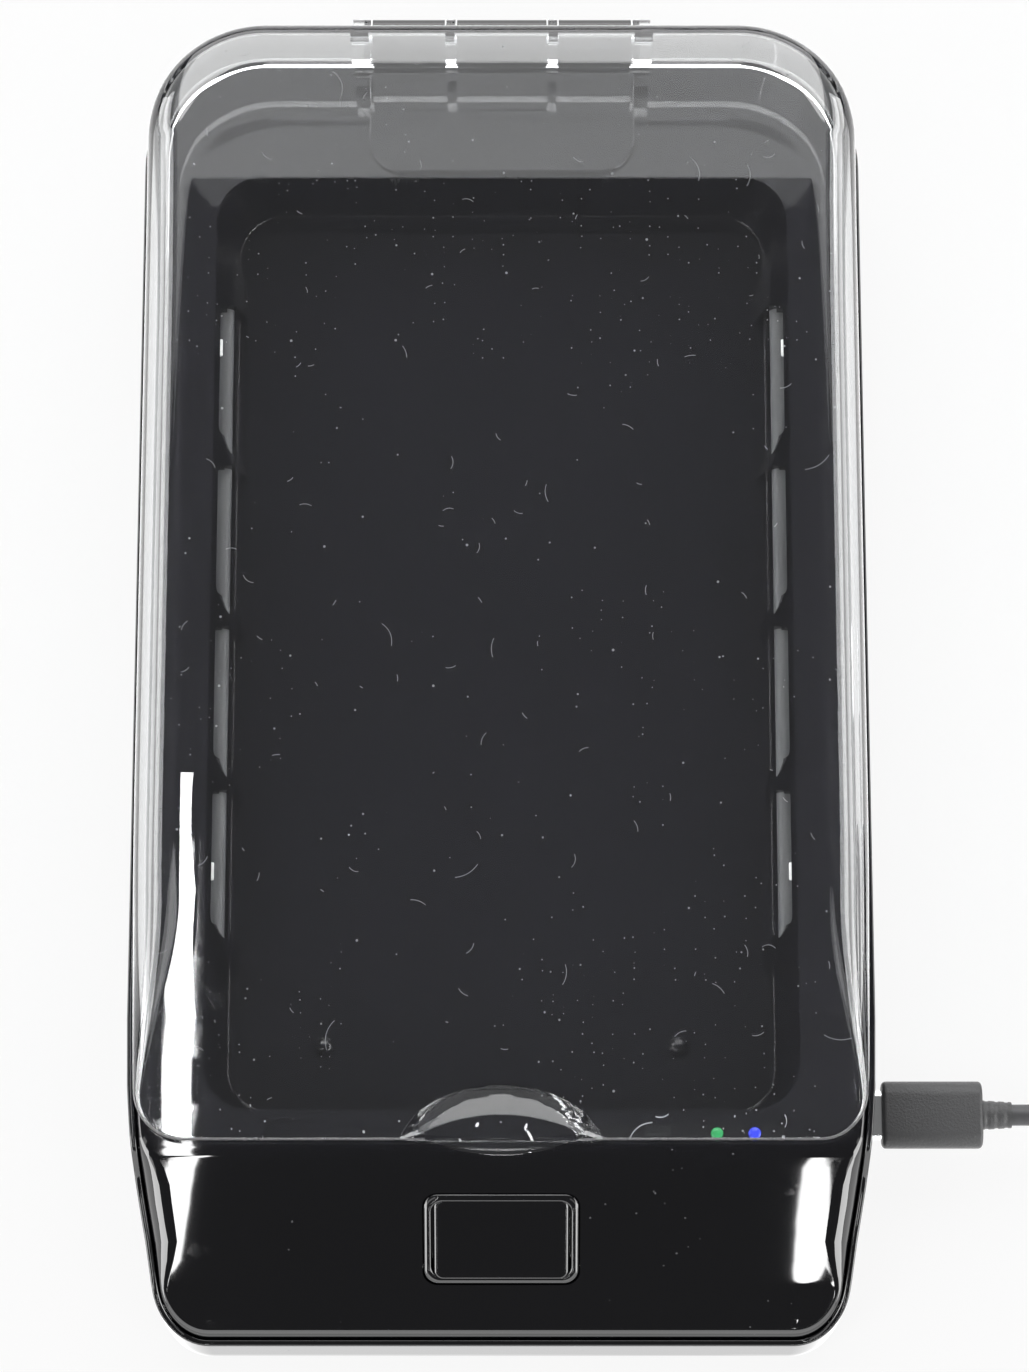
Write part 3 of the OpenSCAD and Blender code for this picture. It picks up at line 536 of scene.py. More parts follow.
# %% Cutting and joining
def combine(piece, others, operation):
    """Cuts other solids out of a piece or joins them to it, then deletes them."""
    for other in others:
        change = piece.modifiers.new(operation.lower(), "BOOLEAN")
        change.operation, change.object, change.solver = operation, other, "EXACT"
    apply_modifiers(piece)
    for other in others:
        mesh = other.data
        bpy.data.objects.remove(other)
        bpy.data.meshes.remove(mesh)
    return piece


def apply_modifiers(piece):
    """Puts the shape that the modifiers make into the mesh itself."""
    depsgraph = bpy.context.evaluated_depsgraph_get()
    depsgraph.update()
    shaped = bpy.data.meshes.new_from_object(piece.evaluated_get(depsgraph))
    piece.modifiers.clear()
    old, piece.data = piece.data, shaped
    bpy.data.meshes.remove(old)


def finish_edges(piece, smooth=30):
    """Smooth shading that large flat faces keep flat: their normals weigh most."""
    smooth_by_angle(piece, smooth)
    even = piece.modifiers.new("even_normals", "WEIGHTED_NORMAL")
    even.keep_sharp = True
    return piece


# %% [markdown]
# ## The cable
# It leaves a port in the right side, sags to the table and runs out of the picture. Its spare
# length is wound up there in a flat coil: inwards on the table, up one layer, and outwards
# again on top. A cable's drape is slow, so a smooth curve through a few points is true to it.
# The tube is a circle carried along that curve.

# %% The route
CORD_D = 3.6
PORT_Y, PORT_Z = -74.1, 12.2
COIL_TURNS, COIL_INNER, COIL_PITCH = 6.25, 15.2, CORD_D + 0.56
TAIL_Z = 1.8 + COIL_PITCH
COIL_OUTER = COIL_INNER + COIL_PITCH * COIL_TURNS / 2
COIL_X, COIL_Y = 128.0, -74.6 + COIL_OUTER
TAIL_X, TAIL_Y = COIL_X + COIL_OUTER, COIL_Y + CORD_D
FAR_Z, FAR_Y = 4.0, TAIL_Y + 20
lead = [(86.2, -74.1, PORT_Z), (90, -74.1, PORT_Z), (93, -74.1, 11.8), (97, -74.2, 10.4),
        (101, -74.3, 8.3), (105, -74.4, 5.9), (109, -74.5, 3.7), (113, -74.6, 2.4),
        (117, -74.6, 1.8), (121, -74.6, 1.8), (COIL_X - CORD_D, -74.6, 1.8)]
tail = [(TAIL_X, TAIL_Y + run, z) for run, z in
        ((0, TAIL_Z), (4, TAIL_Z), (8, 5.5), (12, 4.6), (16, FAR_Z), (20, FAR_Z))]


def eased(points, steps=4):
    """A smooth curve through points. Between two of them, each step is the Catmull-Rom
    blend of the four nearest."""
    p = np.asarray(points, float)
    p = np.concatenate([2 * p[:1] - p[1:2], p, 2 * p[-1:] - p[-2:-1]])
    t = np.linspace(0, 1, steps, endpoint=False)[:, None]
    spans = [0.5 * (2 * b + (c - a) * t + (2 * a - 5 * b + 4 * c - d) * t**2
                    + (3 * b - a - 3 * c + d) * t**3)
             for a, b, c, d in zip(p[:-3], p[1:-2], p[2:-1], p[3:])]
    return np.concatenate([*spans, p[-2:-1]])


def coil(per_turn=32):
    """Round and round at a steady rate, inwards for half the way and outwards for the rest.
    The height climbs one layer in the half turn where the coil reverses."""
    u = np.linspace(0, 1, int(COIL_TURNS * per_turn) + 1)
    angle = 2 * np.pi * COIL_TURNS * u - np.pi / 2
    radius = COIL_OUTER - (COIL_OUTER - COIL_INNER) * (1 - abs(1 - 2 * u))
    height = CORD_D / 2 + COIL_PITCH * np.clip((u - 0.5) * COIL_TURNS / 0.5 + 0.5, 0, 1)
    return np.column_stack([COIL_X + radius * np.cos(angle), COIL_Y + radius * np.sin(angle), height])


cord_route = np.concatenate([eased(lead), coil(), eased(tail)])


# %% The tube
def tube(name, route, diameter, finish, body, sides=14):
    """A circle carried along a route: each ring stands square to the route's direction, and
    the up and side directions come from it and the vertical."""
    ahead = np.gradient(route, axis=0)
    ahead /= np.linalg.norm(ahead, axis=1)[:, None]
    side = np.cross((0, 0, 1), ahead)
    side /= np.linalg.norm(side, axis=1)[:, None]
    up = np.cross(ahead, side)
    angle = np.linspace(0, 2 * np.pi, sides, endpoint=False)[:, None, None]
    rings = (route + diameter / 2 * (side * np.cos(angle) + up * np.sin(angle))).swapaxes(0, 1)
    return add_mesh(name, rings, closed_faces(len(route), sides), finish, body, 60)


charging_cable = tube("charging_cable", cord_route, CORD_D, "cable_rubber", "box")
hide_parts("cord_lead", "cord_coil", "cord_tail")


# %% [markdown]
# The plug's grip is overmoulded: soft edges, a slight taper and a sleeve with grooves that
# lets the cable bend. Slices across the cable's own line, each a rounded rectangle, make it.


# %% Lofts along the cable's line
def slice_rings(slices):
    """Rounded rectangles at given places along a line: (place, width, height, radius)."""
    outlines = [(rounded(w, h, r), s) for s, w, h, r in slices]
    return np.stack([np.column_stack([outline, np.full(len(outline), s)]) for outline, s in outlines])


def loft(name, slices, place, finish, body, smooth):
    """A closed skin through such slices."""
    rings = slice_rings(slices)
    faces = closed_faces(*rings.shape[:2])
    return add_mesh(name, place(rings.reshape(-1, 3)), faces, finish, body, smooth)


def along_x(points):
    """Turns (width, height, place) about the port's line, which runs along +X."""
    return np.column_stack([points[:, 2], PORT_Y + points[:, 0], PORT_Z + points[:, 1]])


def along_y(points):
    """Turns (width, height, place) about the far plug's line, which runs along +Y."""
    return np.column_stack([TAIL_X - points[:, 0], FAR_Y + points[:, 2], FAR_Z + points[:, 1]])


def soft_ends(start, end, width, height, radius, nose, steps=6):
    """Slices of a block whose two ends are rounded off by a quarter ellipse."""
    turn = np.linspace(0, np.pi / 2, steps + 1)
    run, inset = nose * (1 - np.cos(turn)), nose * (1 - np.sin(turn))
    places = np.concatenate([start + run, (end - run)[::-1]])
    inset = np.concatenate([inset, inset[::-1]])
    return [(p, width - 2 * i, height - 2 * i, max(0.4, radius - i)) for p, i in zip(places, inset)]


def sleeve(start, end, first, last, grooves):
    """Slices of a round sleeve that tapers from one diameter to another and has grooves."""
    s = np.linspace(0, 1, 8 * grooves + 1)
    width = first + (last - first) * s - 0.22 * (np.sin(2 * np.pi * grooves * s - np.pi / 2) > 0.35)
    return [(start + (end - start) * a, w, w, w / 2 - 0.01) for a, w in zip(s, width)]


for node, name, slices, place, smooth in (
        ("cable_plug_grip", "plug_grip", soft_ends(64.3, 81.2, 11.3, 6.0, 2.7, 0.7), along_x, 40),
        ("far_plug_grip", "far_plug_grip_moulded",
         soft_ends(6, 31.6, 15.0, 8.0, 2.6, 0.9), along_y, 40),
        ("cable_strain_relief", "cable_sleeve", sleeve(81.2, 86.2, 5.0, 4.4, 3), along_x, 50),
        ("far_plug_relief", "far_plug_sleeve", sleeve(0, 6, 4.4, 5.6, 3), along_y, 50)):
    loft(name, slices, place, "grip_rubber", "box", smooth)
    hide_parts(node)

# %% [markdown]
# ## The tub and the panel
# The black case is two mouldings. The tub's rim shows all round as a fine rounded line, and
# the upper housing sits inside it: a flat deck for the lid, a soft bend and the slope with
# the button. Both follow one outline, so one function serves both.

# %% Sizes of the case
HALF_W, FRONT_Y, REAR_Y = 62.0, -114.0, 110.0
DECK_Z, LOW_Z, TOP_Y, LOW_Y, BEND = 30.0, 12.0, -81.0, -112.0, 1.8
SLOPE = (DECK_Z - LOW_Z) / (TOP_Y - LOW_Y)
TAPER_L, TAPER_IN = 44.0, 4.5
LIP, NEST, WALL, LIP_DROP = 1.1, 6.0, 2.0, 0.4
HOUSING_IN = LIP + 0.15


def panel_z(y):
    """Height of the panel: the deck, a parabola through the bend, then the straight slope."""
    ahead = TOP_Y + BEND - y
    bent = DECK_Z - SLOPE * np.clip(ahead, 0, None) ** 2 / (4 * BEND)
    return np.where(ahead > 2 * BEND, LOW_Z + SLOPE * (y - LOW_Y), bent)


def half_ring(width, front, rear, front_r, rear_r, inset, draw, stations, steps=14):
    """The right half of a rounded outline. Its side draws in towards the front by a power
    curve, and the front corner's arc ends where its direction is the side's."""
    lean = 1.5 * draw / TAPER_L * math.sqrt(1 - front_r / TAPER_L)
    end = -math.degrees(math.atan(lean))
    a = np.radians(np.linspace(-90, end, steps + 1))
    b = np.radians(np.linspace(0, 90, steps + 5))
    stations = np.asarray(stations, float)
    n1, n2 = len(a), len(a) + len(stations)
    total = n2 + len(b)
    w, f, t = (np.broadcast_to(v, total) for v in (width, front, inset))

    def side(w, f, y):
        return w - draw * np.clip(1 - (y - f) / TAPER_L, 0, None) ** 1.5

    corner_y = f[:n1] + front_r
    meet_y = corner_y + front_r * math.sin(a[-1])
    corner_x = side(w[:n1], f[:n1], meet_y) - front_r * math.cos(a[-1])
    x = np.concatenate([corner_x + (front_r - t[:n1]) * np.cos(a),
                        side(w[n1:n2], f[n1:n2], stations) - t[n1:n2],
                        w[n2:] - rear_r + (rear_r - t[n2:]) * np.cos(b)])
    y = np.concatenate([corner_y + (front_r - t[:n1]) * np.sin(a), stations,
                        rear - rear_r + (rear_r - t[n2:]) * np.sin(b)])
    return np.column_stack([x, y])


# %% Rings of the case
CASE_STATIONS = [-102, -99, -96, -93, -90, -87, -84.5, *np.linspace(TOP_Y - BEND, TOP_Y + BEND, 9),
                 -77, -74, -71, -60, -30, 0, 30, 60]


def case_half(z, inset):
    """The case's outline at heights z: the front leans back and the sides lean out."""
    z = np.asarray(z, float)
    width = HALF_W - 0.06 * np.clip(24 - z, 0, None)
    front = FRONT_Y + 0.2 * np.clip(z - 4, 0, None)
    return half_ring(width, front, REAR_Y, 9.0, 21.5, inset, TAPER_IN, CASE_STATIONS)


PANEL_EDGE, SIDE_EDGE = 1.2, 4.2


def edge_radius(y):
    """The panel's rim is rounder down the slope's sides, but not at the front corners."""
    down = np.clip((TOP_Y + 3 - y) / 9, 0, 1) * np.clip((y - FRONT_Y - 10) / 9, 0, 1)
    return PANEL_EDGE + (SIDE_EDGE - PANEL_EDGE) * down * down * (3 - 2 * down)


case_count = len(case_half(0.0, 0.0))
panel_line = panel_z(case_half(np.full(case_count, LOW_Z), 0)[:, 1])
panel_line = panel_z(case_half(panel_line, 0)[:, 1])
rim_radius = edge_radius(case_half(panel_line, 0)[:, 1])
rim_line = panel_line - (rim_radius - PANEL_EDGE) * 0.8


def tub_ring(low, share, drop, inset):
    """A ring at a share of the way from a low height up to the rim."""
    z = low + (rim_line - LIP_DROP - drop - low) * share
    return np.column_stack([case_half(z, inset), z])


def panel_ring(drop, inset):
    """A ring on the panel's own surface, a drop below it."""
    z = panel_z(case_half(panel_line, inset)[:, 1]) - drop
    return np.column_stack([case_half(z, inset), z])


def skirt_ring(inset):
    z = panel_line - LIP_DROP - NEST + 0.05
    return np.column_stack([case_half(z, inset), z])


def quarter(radius, steps=5, rising=True):
    """Insets and drops of a quarter circle, from the wall to the top or the other way."""
    a = np.linspace(0, np.pi / 2, steps + 1)
    pairs = list(zip(radius * (1 - np.cos(a)), radius * (1 - np.sin(a))))
    return pairs if rising else pairs[::-1]


# %% The tub
CROWN, BASE_Z, BASE_R, INSIDE_Z = 0.4, 2.0, 2.0, 4.2
WALL_Z = BASE_Z + BASE_R
tub_rings = [tub_ring(BASE_Z, 0, 0, BASE_R * (1 - math.sin(a))) + (0, 0, BASE_R * (1 - math.cos(a)))
             for a in np.linspace(0, np.pi / 2, 7)]
tub_rings += [tub_ring(WALL_Z, s, 0, 0) for s in (0.2, 0.4, 0.6, 0.8, 0.96)]
tub_rings += [tub_ring(WALL_Z, 1, d, t) for t, d in quarter(CROWN)]
tub_rings += [tub_ring(WALL_Z, 1, d, LIP - t) for t, d in quarter(CROWN, rising=False)]
tub_rings += [tub_ring(INSIDE_Z, 1, NEST, LIP), tub_ring(INSIDE_Z, 1, NEST, WALL),
              tub_ring(INSIDE_Z, 0, 0, WALL + 0.3)]
tub = skin("tub_shell", tub_rings, "gloss_black", "box")

screw_places = [(s * x, y) for x, y in ((54.6, -64), (50, 96), (44, -100)) for s in (-1, 1)]
foot_places = [(s * x, y) for x, y in ((50, -80), (46, 80)) for s in (-1, 1)]


def rotate_to_x(points):
    """Lays an upright prism down: its height becomes +X, its outline Y and Z."""
    return points[:, [2, 0, 1]]


def rotate_to_y(points):
    """Lays it down the other way: its height becomes +Y, its outline X and Z."""
    return points[:, [0, 2, 1]]


cutters = [prism("bore", disc(x, y, 5.6), 0, 3.9) for x, y in screw_places]
cutters += [prism("recess", disc(x, y, 10.4), 0, 3.0) for x, y in foot_places]
cutters += [prism("port", rounded(9.6, 3.8, 1.85, PORT_Y, PORT_Z), 57, 66, place=rotate_to_x),
            prism("slot", rounded(13.5, 2.0, 0.5, 30.25, 6.0), -116, -108, place=rotate_to_y)]
combine(tub, cutters, "DIFFERENCE")
finish_edges(tub)
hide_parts("lower_shell")
print("tub", len(tub.data.polygons), "faces")

# %% The upper housing
SKIRT = 1.8
housing_rings = [panel_ring(WALL, HOUSING_IN + SKIRT + 0.8),
                 panel_ring(WALL + rim_radius * 0.7, HOUSING_IN + SKIRT),
                 skirt_ring(HOUSING_IN + SKIRT), skirt_ring(HOUSING_IN),
                 panel_ring(rim_radius + 0.15, HOUSING_IN)]
housing_rings += [panel_ring(rim_radius * d, HOUSING_IN + rim_radius * t) for t, d in quarter(1, 10)]
housing_rings += [panel_ring(0, HOUSING_IN + rim_radius + t) for t in (0.4, 1.2)]
housing = skin("deck_panel", housing_rings, "gloss_black", "box")

BUTTON_Y = -95.6
TILT = math.atan(SLOPE)
BUTTON_Z = float(panel_z(BUTTON_Y))


def on_slope(points):
    """Puts points from the slope's own frame into the box's: turned by the tilt about X and
    moved to the button's middle."""
    x, y, z = points.T
    return np.column_stack([x, BUTTON_Y + y * math.cos(TILT) - z * math.sin(TILT),
                            BUTTON_Z + y * math.sin(TILT) + z * math.cos(TILT)])


MOUTH, TRAY_FRONT, TRAY_REAR = 49.3, -74.6, 86.5
tray_middle = (TRAY_FRONT + TRAY_REAR) / 2
STRIP_X, STRIP_Y = (12.6, 46.7), (-80.0, -77.2)
strip = rounded(STRIP_X[1] - STRIP_X[0], STRIP_Y[1] - STRIP_Y[0], 0.3,
                sum(STRIP_X) / 2, sum(STRIP_Y) / 2, 4)
switch_slot = rounded(5.3, 1.7, 0.3, 25.7, -78.4, 4)


def torus(name, centre, ring_r, tube_r, low, high, steps=64, sides=32):
    """Part of a ring that stands on edge across the box, cut off by two angles in degrees."""
    a = np.radians(np.linspace(low, high, steps + 1))[:, None]
    b = np.linspace(0, 2 * np.pi, sides, endpoint=False)
    reach = ring_r + tube_r * np.cos(b)
    rings = np.stack([centre[0] + reach * np.cos(a), centre[1] + tube_r * np.sin(b) + 0 * a,
                      centre[2] + reach * np.sin(a)], -1)
    return add_mesh(name, rings, [face[::-1] for face in closed_faces(steps + 1, sides)], None, None)


d_outline = arc((-35.2, -80.1), 4, 0, 180, 24)
cutters = [prism("mouth", rounded(2 * MOUTH, TRAY_REAR - TRAY_FRONT, 8, 0, tray_middle, 16), 26, 32),
           prism("button_hole", rounded(26.2, 16.8, 2.6), -4, 2, place=on_slope),
           prism("strip", strip, 29.0, 31), prism("switch", switch_slot, 25, 31),
           prism("d_recess", d_outline, 29.0, 31),
           torus("crescent", (0, -83.4, 72), 42, 3, -115, -65)]
combine(housing, cutters, "DIFFERENCE")
finish_edges(housing)
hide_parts("upper_housing")
print("housing", len(housing.data.polygons), "faces")

# %% [markdown]
# ## The chamber
# The liner is a shallow tray with a mirror gloss. Its sides lean in towards the floor, and
# the floor runs into them with a very small radius. Four windows a side let the lamps shine in.

# %% The liner
FLOOR_Z, TRAY_TOP, LEAN, FILLET, LINER_WALL = 15.0, 28.0, 3.1, 0.25, 1.6


def tray_half(z, inset):
    """The liner's outline at a height: it leans in towards the floor at a steady rate."""
    share = (TRAY_TOP - z) / (TRAY_TOP - FLOOR_Z)
    ring = half_ring(MOUTH - LEAN * share, TRAY_FRONT + 1.3 * share, TRAY_REAR - 1.9 * share,
                     8.0, 8.0, inset, 0.0, [-60, -30, 0, 30, 60])
    return np.column_stack([ring, np.full(len(ring), z)])


liner_rings = [tray_half(13.0, 0.4), tray_half(14.2, -LINER_WALL),
               tray_half(TRAY_TOP, -LINER_WALL), tray_half(TRAY_TOP, 0)]
liner_rings += [tray_half(FLOOR_Z + FILLET * (1 - math.sin(a)), FILLET * (1 - math.cos(a)))
                for a in np.linspace(0, np.pi / 2, 8)]
liner_rings += [tray_half(FLOOR_Z, 2.2)]
liner = skin("chamber_liner", liner_rings, "mirror_black", "box")

# %% Guards, windows and the groove for the tubes
WINDOW_Y = [-31.9 + 28.4 * i for i in range(4)]
LAMP_X, LAMP_Z, LAMP_D, LAMP_Y = 48.2, 20.5, 3.0, (-46.0, 67.5)
CLAW_IN = 1.8
wall_tilt = math.atan(LEAN / (TRAY_TOP - FLOOR_Z))


def against_wall(points, side):
    """Takes (outwards, along, up the wall) to the leaning wall of the side with that sign."""
    out, along, up = points.T
    x = MOUTH - LEAN + out * math.cos(wall_tilt) + up * math.sin(wall_tilt)
    z = FLOOR_Z - out * math.sin(wall_tilt) + up * math.cos(wall_tilt)
    return np.column_stack([side * x, along, z])


def claw(outline, side):
    outline = np.asarray(outline, float)
    order = outline if side > 0 else outline[::-1]
    return prism("claw", order, -0.6, 8.7, place=lambda p: against_wall(p, side))


middles = [(a + b) / 2 for a, b in zip(WINDOW_Y, WINDOW_Y[1:])]
guards = [[(0.9, y - 2.7), (0.9, y + 4.1), (0.5, y + 4.1), (-CLAW_IN, y - 2.7)] for y in middles]
guards += [[(0.9, 65.2), (0.9, 77.5), (0.5, 77.5), (-1.4, 71), (-CLAW_IN, 65.2)],
           [(0.9, -49.8), (0.9, -42.4), (0.5, -42.4), (-CLAW_IN, -47), (-CLAW_IN, -49.8)]]
combine(liner, [claw(outline, side) for outline in guards for side in (-1, 1)], "UNION")
cutters = [prism("window", rounded(22.4, 8.0, 1.2, y, 21.5), x, x + 9, place=rotate_to_x)
           for y in WINDOW_Y for x in (-52, 43)]
cutters += [prism("groove", disc(side * LAMP_X, LAMP_Z, LAMP_D + 1), LAMP_Y[0] - 3.5, LAMP_Y[1] + 3.5,
                  place=rotate_to_y) for side in (-1, 1)]
combine(liner, cutters, "DIFFERENCE")
finish_edges(liner)
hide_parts("chamber_tray")

# %% [markdown]
# ## The lid
# One clear shell. Its top is level at the rear and bends down like a car's bonnet towards the
# front, so that its last part is nearly as steep as the panel below it. The rear and the long
# sides roll over with a wide radius that shrinks to almost nothing at the front edge. A thumb
# dish is turned about an upright axis that stands in front of the lid.

# %% The lid's form
LID_Z, LID_WALL, DRAFT = 30.3, 2.0, 0.03
LID_HALF, LID_FRONT, LID_REAR = 60.6, -80.6, 108.5


def lid_top_at(y):
    """The top's height: level behind the brow, then a parabola."""
    return LID_TOP - FALL * np.clip(BROW_Y - y, 0, None) ** 2


def smooth_step(value, low, high):
    share = np.clip((value - low) / (high - low), 0, 1)
    return share * share * (3 - 2 * share)


def roll_reach(y):
    """How far in the rolled upper edge reaches: sharp in front, 8 mm along the sides."""
    return 0.5 + 7.5 * smooth_step(y, -81, -42) + 0.5 * smooth_step(y, 85, 104)


def roll_drop(y):
    """How far down it reaches; the rear rolls over in a flat quarter ellipse."""
    return roll_reach(y) - 4.9 * smooth_step(y, 78, 103)


LID_STATIONS = [*np.linspace(-71, -22, 22), -15, 0, 15, 30, 45, 60, 75]


def lid_ring(share, turn=0.0, wall=0.0):
    """A ring on the outer or inner skin: at a share of the way up the straight wall, and from
    there at an angle through the rolled edge. The heights depend on how far back a point
    lies, and that on its inset, so the two are worked out in turn. The wall thins out to
    the front."""
    y = half_ring(LID_HALF, LID_FRONT, LID_REAR, 8.0, 20.0, wall, 0.6, LID_STATIONS)[:, 1]
    for _ in range(3):
        thick = wall * (0.22 + 0.78 * smooth_step(y, -80, -60))
        reach, drop = np.maximum(roll_reach(y) - thick, 0.12), np.maximum(roll_drop(y) - thick, 0.12)
        steep = 2 * FALL * np.clip(BROW_Y - y, 0, None)
        crown = lid_top_at(y) - thick * np.sqrt(1 + steep**2)
        z = LID_Z + (crown - drop - LID_Z) * share + drop * math.sin(turn)
        inset = thick + reach * (1 - math.cos(turn))
        rise = DRAFT * (z - LID_Z)
        plan = half_ring(LID_HALF - rise, LID_FRONT + rise[0], LID_REAR - rise[-1], 8.0, 20.0,
                         inset, 0.6, LID_STATIONS)
        y = plan[:, 1]
    return np.column_stack([plan, z])


roll = np.linspace(0, np.pi / 2, 15)
outer_rings = [lid_ring(0), lid_ring(0.5), *[lid_ring(1, turn) for turn in roll]]
inner_rings = [*[lid_ring(1, turn, LID_WALL) for turn in roll[::-1]], lid_ring(0.5, 0, LID_WALL),
               lid_ring(0, 0, LID_WALL)]
lid = skin("clear_lid", inner_rings + outer_rings, "clear_plastic", "lid")

# %% Dish, lip, tab and ears
DISH_Y, RIM_R, RIM_Z = -103.8, 30.5, 38.2


def dish_height(radius):
    """The dish is steep at its rim and levels out: a parabola through the rim with a slope
    of 1.1 there and 0.3 at the lid's front edge."""
    back = RIM_R - radius
    return RIM_Z - 1.1 * back + 0.055 * back**2


def bowl(depth):
    """A turned solid above the dish's surface, or above one that lies deeper."""
    radius = np.linspace(22.0, 34.0, 25)
    height = dish_height(radius) - depth
    return [(0, height[0]), *zip(radius + depth * 0.4, height), (34.5, LID_TOP + 1), (0, LID_TOP + 1)]


def block(name, low, high):
    return prism(name, [(low[0], low[1]), (high[0], low[1]), (high[0], high[1]), (low[0], high[1])],
                 low[2], high[2])


def inside_lid(piece, low):
    """Keeps what lies within the lid's outer skin, above a height."""
    return combine(piece, [block("keep", (-40, LID_FRONT + 0.02, low), (40, 107.5, LID_TOP - 0.5)),
                           skin("lid_hull", outer_rings, None, None)], "INTERSECT")


dish_wall = inside_lid(revolve("dish_wall", bowl(1.6), (0, DISH_Y), steps=160), LID_Z + 0.02)
LIP_W, LIP_OUT = 22.0, 1.9
lip_r = (LIP_W**2 / 4 + LIP_OUT**2) / (2 * LIP_OUT)
half_angle = math.degrees(math.asin(LIP_W / 2 / lip_r))
lip_arc = arc((0, LID_FRONT + lip_r - LIP_OUT), lip_r, -90 - half_angle, -90 + half_angle, 40)
lip_outline = [*lip_arc, (LIP_W / 2, LID_FRONT + 1), (-LIP_W / 2, LID_FRONT + 1)]
AXIS_Y, AXIS_Z, KNUCKLE_R, ROOT_Z = 111.4, 34.0, 2.6, 38
TAB_X = (23.6, 27.8)
ears = []
for x, width in ((24.2, 3.1), (8.8, 1.6), (-8.8, 1.6), (-24.2, 3.1)):
    side = np.concatenate([arc((AXIS_Y, AXIS_Z), KNUCKLE_R, -90, 90, 20),
                           [(LID_REAR - 1, AXIS_Z + KNUCKLE_R), (LID_REAR - 1, AXIS_Z - KNUCKLE_R)]])
    ears.append(prism("ear", side, x - width / 2, x + width / 2, place=rotate_to_x))
    root = block("ear_root", (x - width / 2, 104.2, ROOT_Z), (x + width / 2, 107.4, LID_TOP))
    ears.append(inside_lid(root, ROOT_Z))
combine(lid, [dish_wall, prism("lip", lip_outline, LID_Z + 0.02, LID_Z + 1.7),
              block("tab", (TAB_X[0], -78.9, 26), (TAB_X[1], -77.9, LID_Z + 3.6)),
              block("tab_root", (TAB_X[0], LID_FRONT + 1, LID_Z + 0.02),
                    (TAB_X[1], -78.4, LID_Z + 3.5)),
              *ears], "UNION")
pin_bore = prism("pin_bore", disc(AXIS_Y, AXIS_Z, 2.1, 32), -30, 30, place=rotate_to_x)
combine(lid, [revolve("dish", bowl(0), (0, DISH_Y), steps=160), pin_bore], "DIFFERENCE")
finish_edges(lid, 28)
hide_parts("lid")
print("lid", len(lid.data.polygons), "faces")

# %% [markdown]
# ## Smaller mouldings
# Small parts keep their CAD shape, but no moulded edge is truly sharp. A copy of the node's
# mesh is merged, its flat faces are made whole again, and a narrow bevel rounds each edge, so
# that every edge catches a thin line of light.


# %% Copies with soft edges
body_name = {node: body for body, members in frame["record"]["behaviour"]["bodies"].items()
             for node in members}


def soft_copy(node, name, width, finish=None, segments=3, smooth=30):
    """A bevelled copy of a CAD node that then stands for it."""
    shape = bmesh.new()
    shape.from_mesh(nodes[node].data)
    bmesh.ops.remove_doubles(shape, verts=shape.verts, dist=1e-6)
    bmesh.ops.dissolve_limit(shape, angle_limit=math.radians(1.5), verts=shape.verts, edges=shape.edges)
    mesh = bpy.data.meshes.new(name)
    shape.to_mesh(mesh)
    shape.free()
    mesh.materials.append(finishes[finish or slot_of[node]].material)
    piece = bpy.data.objects.new(name, mesh)
    bpy.context.scene.collection.objects.link(piece)
    edge = piece.modifiers.new("soft_edges", "BEVEL")
    edge.width, edge.segments, edge.angle_limit = width * MM, segments, math.radians(smooth)
    edge.limit_method = "ANGLE"
    edge.harden_normals = True
    smooth_by_angle(piece, smooth)
    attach(piece, body_name[node])
    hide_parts(node)


for node, name, width in (("hinge_block", "hinge_bar", 0.3), ("hinge_cover", "hinge_panel", 0.35),
                          ("rubber_feet", "soft_feet", 0.3), ("lamp_holders", "tube_clips", 0.2),
                          ("lamp_caps", "tube_ends", 0.2), ("usb_port", "port_shell", 0.06),
                          ("cable_plug_shell", "plug_shell", 0.05),
                          ("far_plug_shell", "far_shell", 0.15)):
    soft_copy(node, name, width)

# %% The strip and its light pipes, a little closer to the lid's edge than in CAD
LIGHT_X, LIGHT_Y, LIGHT_D = (35.5, 41.7), -78.75, 2.1
PIPE_LOW, PIPE_TOP, PIPE_DOME = 24.4, 29.75, 0.35
status_strip = prism("status_strip", strip, 29.05, 29.95, "smoked_window", "box")
holes = [prism("hole", disc(x, LIGHT_Y, LIGHT_D + 0.1), 28, 31) for x in LIGHT_X]
combine(status_strip, holes, "DIFFERENCE")
finish_edges(status_strip)
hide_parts("indicator_window")
for x, colour in zip(LIGHT_X, ("green", "blue")):
    dome = [(LIGHT_D / 2 * math.cos(a), PIPE_TOP + PIPE_DOME * math.sin(a))
            for a in np.linspace(0, 1.5, 7)]
    profile = [(0, PIPE_LOW), (LIGHT_D / 2, PIPE_LOW), *dome, (0, PIPE_TOP + PIPE_DOME)]
    pipe = revolve(f"{colour}_light_pipe", profile, (x, LIGHT_Y), f"{colour}_light", "box", 40)
    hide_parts(f"status_light_{colour}")

